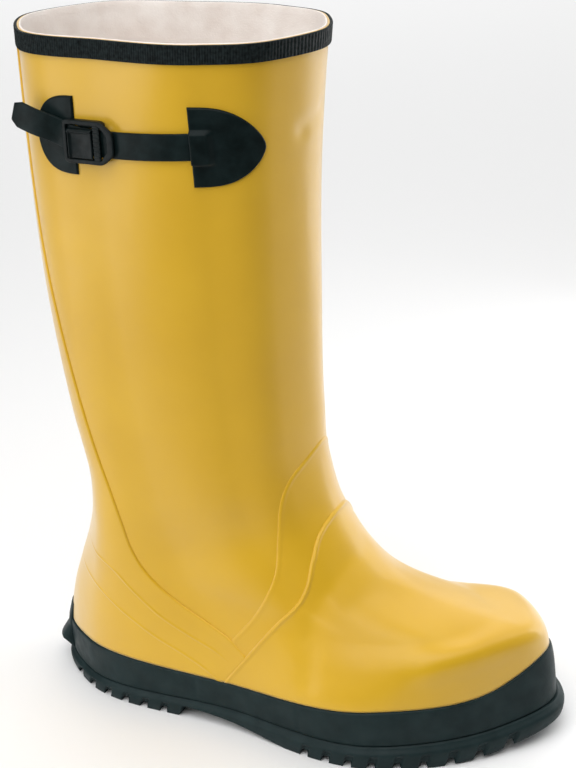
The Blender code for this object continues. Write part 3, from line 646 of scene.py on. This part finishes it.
def sole_stations():
    """Places x of lines across the tread that keep to the grooves, and x by the share round each side."""
    fine = np.linspace(0, 0.5, SOLE_SAMPLES)
    reach = GAP + by_station(FOXING_FOOT, fine) + by_station(SOLE_LIP, fine) - SOLE_TREAD_INSET
    outer_x = np.maximum.accumulate(lifted(fine, 0 * fine, reach)[:, 0])
    inner_x = np.maximum.accumulate(lifted(1 - fine, 0 * fine, reach)[:, 0])
    corners = np.array([-STATION_MARGIN, 0, GROOVE_TAPER,
                        GROOVE_WIDTH - GROOVE_TAPER, GROOVE_WIDTH, GROOVE_WIDTH + STATION_MARGIN])
    breast = HEEL_BREAST_X + np.array([-STATION_MARGIN, 0, BREAST_SLOPE / 2,
                                       BREAST_SLOPE, BREAST_SLOPE + STATION_MARGIN])
    even = np.interp(np.linspace(0, 0.5, SOLE_STATIONS), fine, outer_x)
    x = np.unique(np.concatenate([even, (GROOVE_STARTS[:, None] + corners).ravel(), breast]).round(3))
    x = np.clip(x, max(outer_x[0], inner_x[0]), min(outer_x[-1], inner_x[-1]))
    return np.unique(x), fine, outer_x, inner_x


def sole_wall(u):
    """Side of the outsole, from its foot to its upper edge: the lip's profile over the plate's own height."""
    base = lifted(u, 0 * u, 0 * u)
    foot = GAP + by_station(FOXING_FOOT, u)
    lip = by_station(SOLE_LIP, u)
    tread_x = lifted(u, 0 * u, foot + lip - SOLE_TREAD_INSET)[:, 0]
    floor = spring_height(tread_x)
    thick = base[:, 2] - GAP - floor
    bottom = floor + tread_relief(tread_x)
    rows = np.linspace(0, 1, WALL_ROWS)[:, None]
    z = bottom + rows * (base[:, 2] - GAP - bottom)
    share = np.clip((z - floor) / thick, 0, 1)
    profile = np.array(LIP_PROFILE)
    to_edge = np.interp(share, profile[:, 0], profile[:, 1])
    tuck = np.interp(share, profile[:, 0], profile[:, 2])
    slanted = groove_share((tread_x - POCKET_SLANT * share).ravel()).reshape(share.shape)
    pocket = POCKET_DEPTH * slanted * np.clip((POCKET_TOP - share) / POCKET_FADE, 0, 1)
    reach = foot + lip + to_edge * (by_station(SOLE_EDGE, u) - lip) - tuck * SOLE_TREAD_INSET - pocket
    points = base + outward(u, 0 * u) * reach[..., None]
    points[..., 2] = z
    return points


def tread_lines(outer, inner):
    """Lines along the tread from its inner to its outer foot: even, but for four at the middle groove."""
    width = np.maximum(inner[:, 1] - outer[:, 1], CENTRE_GROOVE_WIDTH)
    middle = np.clip(inner[:, 1] / width, *CENTRE_LIMITS)
    half = np.minimum(CENTRE_GROOVE_WIDTH / 2 / width, CENTRE_SHARE)
    floor = 1 - GROOVE_TAPER / (CENTRE_GROOVE_WIDTH / 2)
    corners = middle + half * np.array([-1, -floor, floor, 1])[:, None]
    even = np.linspace(0, 1, TREAD_COLUMNS)[1:-1, None]
    share = np.concatenate([even * corners[0], corners, corners[3] + even * (1 - corners[3])])
    lines = inner + share[..., None] * (outer - inner)
    first = FOREFOOT_GROOVES_X + GROOVE_WIDTH / 2
    last = first + (FOREFOOT_GROOVES - 1) * GROOVE_PITCH
    in_groove = np.zeros(share.shape, bool)
    in_groove[TREAD_COLUMNS - 1 : TREAD_COLUMNS + 1] = (inner[:, 0] > first) & (inner[:, 0] < last)
    groove_top = spring_height(lines[..., 0]) + CENTRE_GROOVE_DEPTH
    lines[..., 2] = np.where(in_groove, np.maximum(lines[..., 2], groove_top), lines[..., 2])
    return lines


def outsole_mesh():
    """Loops across the sole at its stations: up the outer side, over, down the inner side and back under."""
    x, fine, outer_x, inner_x = sole_stations()
    outer = sole_wall(np.interp(x, outer_x, fine))
    inner = sole_wall(1 - np.interp(x, inner_x, fine))
    across = np.linspace(0, 1, TOP_COLUMNS)[1:-1, None, None]
    top = outer[-1] + across * (inner[-1] - outer[-1])
    under = tread_lines(outer[0], inner[0])
    loops = np.concatenate([outer, top, inner[::-1], under]).transpose(1, 0, 2)
    return loops, grid_faces(loops.shape[0], loops.shape[1], closed_round=True)


place("tread_sole", *outsole_mesh(), SOLE_RUBBER, "sole_rubber", "outsole")

# Heel kick: a ledge moulded on the back of the foxing for pushing the boot off, with a thin tab above it.
# Its section is given from its foot up, as shares of the foxing's height with the thickness there.
KICK_HALF_WIDTH = 14.0
KICK_SECTION = ((0.04, 1.6), (0.32, 7.2), (0.40, 7.4), (0.78, 1.8), (1.0, 1.3))
KICK_TAB = 10.0
KICK_TAB_THICK = 0.8
KICK_SUNK = 0.6
KICK_END_POWER = 10
KICK_ROWS = 46
KICK_COLUMNS = 34
STEP_CLEARANCE = 0.6


def heel_kick_mesh():
    """Sheet on the back of the foxing: its thickness follows the section up, and falls to both ends.

    Across, it is the root of 1 less a high power of the way to the end.
    """
    section = np.array(KICK_SECTION)
    tab_v = FOXING_V + (STEP_CLEARANCE + KICK_TAB) / SKIN_LENGTH
    knots_v = np.append(section[:, 0] * FOXING_V, (FOXING_V + STEP_CLEARANCE / SKIN_LENGTH, tab_v))
    knots_reach = np.append(section[:, 1], (section[-1, 1], KICK_TAB_THICK))
    v = np.unique(np.concatenate([np.linspace(knots_v[0], tab_v, KICK_ROWS), knots_v]))
    round_back = np.linspace(0, ROUND_SHARE[1], 40)
    end_u = np.interp(KICK_HALF_WIDTH, -skin(round_back, FOXING_V)[:, 1], round_back)
    across = 2 * close_at_ends(KICK_COLUMNS) - 1
    grid_u, grid_v = np.meshgrid(end_u * across, v)
    share = np.clip(grid_v / FOXING_V, 0, 1)
    foxing = GAP + by_station(FOXING_FOOT, grid_u) * (1 - share) + FOXING_TOP * share
    inner = np.where(grid_v <= FOXING_V + ROUNDING, foxing - KICK_SUNK, GAP + LAYER_THICK - KICK_SUNK)
    outer_base = np.interp(grid_v, [0, knots_v[-2], tab_v], [0, 0, 1])
    outer_base = foxing * (1 - outer_base) + (GAP + LAYER_THICK) * outer_base
    reach = np.interp(grid_v, knots_v, knots_reach) * np.sqrt(1 - np.abs(across) ** KICK_END_POWER)
    return closed_sheet(lifted(grid_u, grid_v, outer_base + reach), lifted(grid_u, grid_v, inner))


place("kick_ledge", *heel_kick_mesh(), SOLE_RUBBER, "sole_rubber", "heel_kick")

# Collar band: a black rubber tape cured round the outside of the collar, its face knurled with fine
# upright ribs and its two edges rounded.
BAND_THICK = 1.5
BAND_ROUND = 0.7
BAND_RIBS = 300
RIB_COLUMNS = 8
RIB_DEPTH = 0.28
BAND_ROUND_ROWS = 5
BAND_ROWS = 4
BAND_RUBBER = finish("band_rubber", tones=((0.001, 0.003, 0.003), (0.014, 0.021, 0.022)), tone_scale=520,
                     roughness=(0.5, 0.7), rough_scale=300,
                     heights=((420, 3.0, 0.35), (1500, 2.0, 0.15)), gloss=0.12)


def collar_band_mesh():
    """Closed profile carried round the collar: a face with quarter-round edges, ribbed by a cosine."""
    count = BAND_RIBS * RIB_COLUMNS
    u = np.arange(count) / count
    turn = np.linspace(0, np.pi / 2, BAND_ROUND_ROWS)
    low = np.stack([BAND_ROUND * (1 - np.cos(turn)), BAND_ROUND * (np.sin(turn) - 1)], axis=1)
    high = np.stack([BAND_HEIGHT - low[::-1, 0], low[::-1, 1]], axis=1)
    level = np.linspace(BAND_ROUND, BAND_HEIGHT - BAND_ROUND, BAND_ROWS + 2)[1:-1]
    outer = np.concatenate([low, np.stack([level, 0 * level], axis=1), high])
    v = BAND_V + outer[:, :1] / SKIN_LENGTH
    rib = np.clip(np.minimum(outer[:, :1], BAND_HEIGHT - outer[:, :1]) / BAND_ROUND, 0, 1)
    wave = 0.5 + 0.5 * np.cos(2 * np.pi * BAND_RIBS * u)
    outer_points = lifted(u[None], v, GAP + BAND_THICK + outer[:, 1:] - RIB_DEPTH * rib * wave)
    inner_points = lifted(u[None], np.array([[1.0], [BAND_V]]), 0)
    points = np.concatenate([outer_points, inner_points])
    return points, grid_faces(len(points), count, True, True)


place("knurled_band", *collar_band_mesh(), BAND_RUBBER, "trim_rubber", "collar_band")

# Strap anchor and buckle patch: black rubber patches cured on the outer side, straight at one edge and
# rounded to a tip.  The anchor is raised over the strap's end along its straight edge.
ANCHOR_PATCH = dict(edge_x=116.0, tip_x=153.0, middle_z=374.5, half_height=23.0, roundness=3.0, point=0.62)
BUCKLE_PATCH = dict(edge_x=44.0, tip_x=17.5, middle_z=376.5, half_height=22.7, roundness=3.0, point=0.5)
PATCH_THICK = 1.2
PATCH_EDGE = 1.0
PATCH_TIP_SHARE = 0.9985
PATCH_ROWS = 70
PATCH_COLUMNS = 60
ANCHOR_BOX = dict(length=13.5, half_height=9.6, rise=3.0, slope=0.8, fade=4.5)
TRIM_RUBBER = finish("trim_rubber", tones=((0.002, 0.006, 0.006), (0.0075, 0.016, 0.0165)), tone_scale=110,
                     roughness=(0.34, 0.46), rough_scale=160,
                     heights=((140, 2.0, 0.1), (900, 2.0, 0.05), (3200, 1.0, 0.02)), gloss=0.12)


def patch_mesh(patch, rise_over=None):
    """Sheet from the straight edge to the tip: half height times (1 - share^roundness)^point, rim rounded."""
    along = PATCH_TIP_SHARE * close_at_ends(PATCH_ROWS)
    share, side = np.meshgrid(along, 2 * close_at_ends(PATCH_COLUMNS) - 1)
    x = patch["edge_x"] + share * (patch["tip_x"] - patch["edge_x"])
    z = patch["middle_z"] + side * patch["half_height"] * (1 - share ** patch["roundness"]) ** patch["point"]
    u, v = side_shares(x, z)
    base = skin(u, v)
    border = np.concatenate([base[0], base[:, -1], base[-1, ::-1], base[::-1, 0]])
    distance = distance_to_line(base.reshape(-1, 3), border).reshape(x.shape)
    height = (GAP + PATCH_THICK) * round_edge(distance, PATCH_EDGE)
    if rise_over:
        height = height + rise_over(x, z)
    return closed_sheet(lifted(u, v, height), lifted(u, v, -LAYER_SINK))


def soft_step(value, start, end):
    """Smooth step from 0 at start to 1 at end."""
    share = np.clip((value - start) / (end - start), 0, 1)
    return share**2 * (3 - 2 * share)


def anchor_rise(x, z):
    """Box over the strap's end: level, with steep sides, fading out in front, open at the straight edge."""
    ahead = (ANCHOR_PATCH["edge_x"] + ANCHOR_BOX["length"] - x) / ANCHOR_BOX["fade"]
    beside = (ANCHOR_BOX["half_height"] - np.abs(z - ANCHOR_PATCH["middle_z"])) / ANCHOR_BOX["slope"]
    share = np.clip(ahead, 0, 1) * np.clip(beside + 0.5, 0, 1)
    return ANCHOR_BOX["rise"] * soft_step(share, 0, 1)


place("anchor_patch", *patch_mesh(ANCHOR_PATCH, anchor_rise), TRIM_RUBBER, "trim_rubber", "strap_anchor")
place("buckle_backing", *patch_mesh(BUCKLE_PATCH), TRIM_RUBBER, "trim_rubber", "buckle_patch")

# Strap: a flat moulded rubber strap from the anchor through the buckle, its free end standing off the shaft.
# Its run gives side-view places with the height of its middle above the skin.
STRAP_WIDTH = 15.5
STRAP_THICK = 1.8
STRAP_RUN = ((120, 375.4, 1.3), (101, 374.6, 1.35), (85, 373.9, 1.4), (71, 373.6, 1.8), (62, 373.8, 2.5),
             (56, 374.2, 2.8), (50, 374.8, 2.95), (46, 375.4, 2.95), (43.4, 375.9, 2.95), (41.2, 376.5, 2.95),
             (38.8, 377.4, 3.0), (36.5, 378.4, 3.1), (34, 379.5, 3.7), (31, 380.9, 4.9), (27, 382.6, 6.6),
             (22, 384.7, 8.6), (17, 387, 10.4), (12.5, 389.2, 12))
STRAP_STATIONS = 150
STRAP_COLUMNS = 28
STRAP_SQUARENESS = 0.3
TIP_CHAMFER = 2.6
TIP_STATIONS = 6
TIP_THIN = 0.6
TAIL_X = 40.0
TAIL_TURN = 14.0


def rounded_section(columns, power):
    """Unit outline of a rounded rectangle: cosine and sine raised to a power, with their signs kept."""
    turn = 2 * np.pi * (np.arange(columns) + 0.5) / columns
    across = np.sign(np.cos(turn)) * np.abs(np.cos(turn)) ** power
    through = np.sign(np.sin(turn)) * np.abs(np.sin(turn)) ** power
    return across, through


def tube_faces(stations, columns):
    """Faces of a section carried along a line, with a face over each end."""
    corner = list(range(stations * columns))
    return grid_faces(stations, columns, closed_round=True).tolist() + [corner[:columns], corner[-columns:]]


def strap_mesh():
    """Rounded section along the run, its face turned with the skin but straight on along the free end."""
    run = smooth_line(STRAP_RUN, STRAP_STATIONS)
    u, v = side_shares(run[:, 0], run[:, 1])
    middle = lifted(u, v, run[:, 2])
    along = unit(np.gradient(middle, axis=0))
    stiff = np.clip((TAIL_X - run[:, :1]) / TAIL_TURN, 0, 1)
    out = outward(u, v)
    straight = outward(*side_shares([TAIL_X], [run[0, 1]]))
    side = unit(np.cross(out + stiff * (straight - out), along))
    face = np.cross(along, side)
    half = np.full(STRAP_STATIONS, STRAP_WIDTH / 2)
    half[-TIP_STATIONS:] -= TIP_CHAMFER * np.linspace(0, 1, TIP_STATIONS)
    thick = np.full(STRAP_STATIONS, STRAP_THICK / 2)
    thick[-1] *= TIP_THIN
    across, through = rounded_section(STRAP_COLUMNS, STRAP_SQUARENESS)
    points = (middle[:, None] + side[:, None] * (half[:, None] * across)[..., None]
              + face[:, None] * (thick[:, None] * through)[..., None])
    return points, tube_faces(STRAP_STATIONS, STRAP_COLUMNS)


place("strap_band", *strap_mesh(), TRIM_RUBBER, "trim_rubber", "strap")

# Buckle frame: a black moulded frame with chamfered front corners.  The strap runs under its front bar, the
# ribbed bar and its rear bar, so the bars keep to the upper part of its thickness.
BUCKLE_X = 55.5
BUCKLE_Z = 374.5
BUCKLE_BASE = 2.0
BUCKLE_LENGTH = 33.0
BUCKLE_HEIGHT = 25.2
BUCKLE_THICK = 3.9
RAIL_WIDTH = 2.8
FRONT_BAR_WIDTH = 4.5
REAR_BAR_WIDTH = 2.2
FRONT_CHAMFER = 6.0
FRAME_ROUND = 2.0
RIBBED_BAR = (3.0, 7.6)
BAR_FOOT = 2.4
CHANNEL_HALF_HEIGHT = 9.3
CORNER_CUT = (-10.9, -12.1)
RAIL_LEAN = 2.0
LEAN_SPAN = (-8.0, -5.0)
RIB_PITCH = 2.6
RIB_RISE = 0.35
RIB_BASE = 3.6
CHANNEL_BLEND = (-0.4, 1.2)
FRAME_STATIONS = 320
BAR_STATIONS = 90
BAR_COLUMNS = 20
BAR_SQUARENESS = 0.42
BUCKLE_BLACK = finish("buckle_black", tones=((0.001, 0.0035, 0.0035), (0.004, 0.0085, 0.009)), tone_scale=300,
                      roughness=(0.3, 0.42), rough_scale=260,
                      heights=((500, 2.0, 0.04), (3000, 1.0, 0.015)), gloss=0.16)


def buckle_place(points):
    """Points given forward, up and outwards from the buckle's middle, set on the shaft."""
    u, v = side_shares(BUCKLE_X, BUCKLE_Z)
    out = outward(u, v)
    forward = unit(np.cross(out, (0, 0, 1)))
    forward *= np.sign(forward[0])
    up = np.cross(forward, out)
    up *= np.sign(up[2])
    return lifted(u, v, BUCKLE_BASE) + np.asarray(points, float) @ np.array([forward, up, out])


def rounded_outline(corners, radius, count):
    """Closed outline with a quadratic arc at each corner, resampled to evenly spaced points."""
    corners = np.array(corners, float)
    start = corners + radius * unit(np.roll(corners, 1, axis=0) - corners)
    end = corners + radius * unit(np.roll(corners, -1, axis=0) - corners)
    t = np.linspace(0, 1, 9)[None, :, None]
    arcs = (1 - t) ** 2 * start[:, None] + 2 * t * (1 - t) * corners[:, None] + t**2 * end[:, None]
    line = np.concatenate([arcs.reshape(-1, 2), arcs[0, :1]])
    way = way_along(line)
    at = np.linspace(0, way[-1], count, endpoint=False)
    return np.stack([np.interp(at, way, line[:, 0]), np.interp(at, way, line[:, 1])], axis=1)


def bar_points(line, width, low, high, closed, lean=0.0):
    """Rounded section carried along a flat line, its inner foot leaning inwards on a closed line."""
    ahead = np.roll(line, -1, axis=0) - np.roll(line, 1, axis=0) if closed else np.gradient(line, axis=0)
    square = unit(np.stack([ahead[:, 1], -ahead[:, 0]], axis=1))
    across, through = rounded_section(BAR_COLUMNS, BAR_SQUARENESS)
    foot = np.reshape(lean, (-1, 1)) * np.maximum(-across, 0) * np.clip(1 - through, 0, 1)
    flat = line[:, None] + square[:, None] * (np.reshape(width, (-1, 1)) / 2 * across - foot)[..., None]
    height = (low + high)[:, None] / 2 + (high - low)[:, None] / 2 * through
    return buckle_place(np.concatenate([flat, height[..., None]], axis=2)).reshape(-1, 3)


def frame_ring():
    """Frame's outline as one closed bar, its foot cut away over the strap in front and behind.

    The cut behind takes the upper corner too, where the strap leaves, and the upper rail leans inwards.
    """
    back = REAR_BAR_WIDTH / 2 - BUCKLE_LENGTH / 2
    front = BUCKLE_LENGTH / 2 - FRONT_BAR_WIDTH / 2
    tall = BUCKLE_HEIGHT / 2 - RAIL_WIDTH / 2
    corners = ((back, -tall), (front - FRONT_CHAMFER, -tall), (front, FRONT_CHAMFER - tall),
               (front, tall - FRONT_CHAMFER), (front - FRONT_CHAMFER, tall), (back, tall))
    line = rounded_outline(corners, FRAME_ROUND, FRAME_STATIONS)
    inside = 1 - soft_step(np.abs(line[:, 1]) - CHANNEL_HALF_HEIGHT, *CHANNEL_BLEND)
    ahead = soft_step(line[:, 0], front - FRONT_CHAMFER, front)
    corner = soft_step(-line[:, 0], -CORNER_CUT[0], -CORNER_CUT[1]) * (line[:, 1] > 0)
    low = BAR_FOOT * np.maximum(inside, corner)
    lean = RAIL_LEAN * soft_step(line[:, 0], *LEAN_SPAN) * (1 - ahead) * (line[:, 1] > CHANNEL_HALF_HEIGHT)
    width = RAIL_WIDTH + (FRONT_BAR_WIDTH - RAIL_WIDTH) * ahead
    width = np.where(line[:, 0] < 0, RAIL_WIDTH - (RAIL_WIDTH - REAR_BAR_WIDTH) * inside, width)
    points = bar_points(line, width, low, BUCKLE_THICK, True, lean)
    return points, grid_faces(FRAME_STATIONS, BAR_COLUMNS, True, True)


def ribbed_bar():
    """Bar over the strap, its top waved by ribs along it, ending inside the rails."""
    tall = BUCKLE_HEIGHT / 2 - RAIL_WIDTH / 2
    up = np.linspace(-tall, tall, BAR_STATIONS)
    line = np.stack([np.full(BAR_STATIONS, sum(RIBBED_BAR) / 2), up], axis=1)
    rib = RIB_RISE * (0.5 + 0.5 * np.cos(2 * np.pi * up / RIB_PITCH)) * (np.abs(up) < CHANNEL_HALF_HEIGHT)
    points = bar_points(line, RIBBED_BAR[1] - RIBBED_BAR[0], BAR_FOOT, RIB_BASE + rib, False)
    return points, tube_faces(BAR_STATIONS, BAR_COLUMNS)


place("frame_moulding", *join([frame_ring(), ribbed_bar()]), BUCKLE_BLACK, "buckle_black", "buckle_frame")

# Lever plate: a black plate hinged in the frame that grips the strap, dished, with a raised rim along its
# top and rear edges.
PLATE_LENGTH = 16.4
PLATE_HEIGHT = 16.8
PLATE_THICK = 1.7
PLATE_BACK = -13.8
PLATE_DROP = 1.0
PLATE_LIFT = 2.6
PLATE_EDGE = 0.7
PLATE_RIM = 0.9
RIM_IN = 1.3
RIM_SPREAD = 0.7
PLATE_DISH = 0.8
PLATE_COLUMNS = 40


def lever_plate_mesh():
    """Rounded plate: its top falls to the middle by sines, with a bell-shaped rim just inside two edges."""
    along = close_at_ends(PLATE_COLUMNS)
    forward, up = np.meshgrid(PLATE_LENGTH * along, PLATE_HEIGHT * along)
    to_top = PLATE_HEIGHT - up
    to_edge = np.min([forward, PLATE_LENGTH - forward, to_top, up], axis=0)
    rim = np.exp(-((np.array([forward, to_top]) - RIM_IN) / RIM_SPREAD) ** 2).max(axis=0)
    dish = PLATE_DISH * np.sin(np.pi * forward / PLATE_LENGTH) * np.sin(np.pi * up / PLATE_HEIGHT)
    shape = round_edge(to_edge, PLATE_EDGE)
    middle = PLATE_LIFT + PLATE_THICK / 2
    high = middle + shape * (PLATE_THICK / 2 + PLATE_RIM * rim - dish)
    low = middle - shape * PLATE_THICK / 2
    flat = (forward + PLATE_BACK, up - PLATE_HEIGHT / 2 - PLATE_DROP)
    return closed_sheet(*(buckle_place(np.stack([*flat, height], axis=2)) for height in (high, low)))


place("lever_plate", *lever_plate_mesh(), BUCKLE_BLACK, "buckle_black", "buckle_plate")

# Studio: a pale floor whose colour darkens outside the picture, towards the camera, as painted shade of a dim
# room on that side, under two broad skies and a lit backdrop, with soft boxes above the boot and pale cards
# round it.  The camera stands where the photograph was taken from, with the same lens and the same slight
# roll.
CAMERA_AZIMUTH = 24.4
CAMERA_ELEVATION = 22.4
CAMERA_ROLL = -2.3
CAMERA_DISTANCE = 1060.0
CAMERA_TARGET = np.array([144.0, 0.0, 216.4])
LENS_MM = 82.45
SENSOR_MM = 36.0
FLOOR_HALF = 9.0
# Floor colour from pale to dark towards the camera: painted shade of a dim room in front of the boot
FLOOR_TONES = ((0.92, 0.92, 0.92), (0.2, 0.2, 0.2))
FLOOR_PAINTED_SHADE = (0.14, 0.5)
FLOOR_ROUGHNESS = 0.9
WORLD_STRENGTH = 0.065
AIM = np.array([0, 0, 0.2])
# Soft lights: metres to the right of the boot, towards the camera and up, then width, height and watts
SOFT_LIGHTS = {
    "front_box": (0.0, 0.7, 1.7, 1.6, 1.1, 2.7),
    "right_box": (0.9, 0.0, 1.4, 0.6, 0.6, 1.6),
    "back_box": (0.7, -0.6, 1.5, 0.6, 0.6, 1.1),
    "collar_box": (-0.05, 0.24, 0.8, 0.6, 0.5, 0.85),
    "card_left": (-0.7, 0.26, 0.26, 0.3, 0.5, 1.25),
    "card_front": (-0.2, 0.45, 0.52, 0.4, 0.3, 0.5),
    "card_right": (0.72, -0.2, 0.31, 0.22, 0.6, 1.8),
    "card_behind_right": (0.63, -0.4, 0.31, 0.22, 0.6, 0.9),
    "card_behind": (0.48, -0.57, 0.31, 0.22, 0.6, 0.55),
    "backdrop": (0.0, -3.2, 2.5, 3.5, 3.5, 50),
}
# Skies: slope to the right and towards the camera for each metre up, then spread in degrees and strength
SKIES = {"sky": (0.0, 0.01, 80, 1.0), "sky_left": (-0.7, 0.7, 70, 0.9)}

azimuth, elevation, roll = np.radians([CAMERA_AZIMUTH, CAMERA_ELEVATION, CAMERA_ROLL])
ground_back = np.array([np.sin(azimuth), -np.cos(azimuth), 0])
back = ground_back * np.cos(elevation) + np.array([0, 0, np.sin(elevation)])
level_right = np.array([np.cos(azimuth), np.sin(azimuth), 0])
level_up = np.cross(back, level_right)
right = level_right * np.cos(roll) + level_up * np.sin(roll)
up = level_up * np.cos(roll) - level_right * np.sin(roll)
eye = (CAMERA_TARGET + CAMERA_DISTANCE * back) * MM + ORIGIN
lens = bpy.data.cameras.new("camera")
lens.sensor_fit = "VERTICAL"
lens.sensor_height = SENSOR_MM
lens.lens = LENS_MM


def stand(made, sideways, upright, facing, spot):
    """Camera or light in the scene at a spot, its own axes along three directions."""
    thing = bpy.data.objects.new(made.name, made)
    thing.matrix_world = Matrix([*np.stack([sideways, upright, facing, spot], axis=1), (0, 0, 0, 1)])
    bpy.context.scene.collection.objects.link(thing)
    return thing


bpy.context.scene.camera = stand(lens, right, up, back, eye)


def studio_place(to_right, to_camera, height):
    """Place in the studio, in metres to the right of the boot, towards the camera and up."""
    return level_right * to_right + ground_back * to_camera + np.array([0, 0, height])


def hang(lamp, spot, facing):
    """Light at a spot that shines against the facing direction."""
    facing = unit(facing)
    sideways = unit(np.cross((0, 0, 1), facing))
    stand(lamp, sideways, np.cross(facing, sideways), facing, spot)


for name, (to_right, to_camera, height, width, tall, watts) in SOFT_LIGHTS.items():
    lamp = bpy.data.lights.new(name, "AREA")
    lamp.shape = "RECTANGLE"
    lamp.size = width
    lamp.size_y = tall
    lamp.energy = watts
    spot = studio_place(to_right, to_camera, height)
    hang(lamp, spot, spot - AIM)
for name, (to_right, to_camera, spread, strength) in SKIES.items():
    lamp = bpy.data.lights.new(name, "SUN")
    lamp.angle = np.radians(spread)
    lamp.energy = strength
    hang(lamp, np.zeros(3), studio_place(to_right, to_camera, 1))

floor_mesh = bpy.data.meshes.new("floor")
floor_corners = FLOOR_HALF * np.array([(-1, -1, 0), (1, -1, 0), (1, 1, 0), (-1, 1, 0)])
floor_mesh.from_pydata(floor_corners.tolist(), [], [(0, 1, 2, 3)])
floor_paint = bpy.data.materials.new("floor_paint")
floor_paint.use_nodes = True
floor_tree = floor_paint.node_tree
floor_shader = floor_tree.nodes["Principled BSDF"]
# Painted shade: the floor's colour darkens with the distance towards the camera
floor_place = add_node(floor_tree, "ShaderNodeTexCoord")
nearness = add_node(floor_tree, "ShaderNodeVectorMath", operation="DOT_PRODUCT")
nearness.inputs[1].default_value = ground_back
floor_tree.links.new(floor_place.outputs["Object"], nearness.inputs[0])
painted_shade = spread_range(floor_tree, nearness.outputs["Value"], 0, 1, *FLOOR_PAINTED_SHADE)
floor_tree.links.new(blend_colours(floor_tree, painted_shade, *FLOOR_TONES), floor_shader.inputs["Base Color"])
floor_shader.inputs["Roughness"].default_value = FLOOR_ROUGHNESS
floor_mesh.materials.append(floor_paint)
floor = bpy.data.objects.new("floor", floor_mesh)
bpy.context.scene.collection.objects.link(floor)

bpy.context.scene.view_settings.view_transform = "Standard"
world = bpy.data.worlds.new("studio")
bpy.context.scene.world = world
world.use_nodes = True
world_light = world.node_tree.nodes["Background"]
world_light.inputs["Color"].default_value = (1, 1, 1, 1)
world_light.inputs["Strength"].default_value = WORLD_STRENGTH
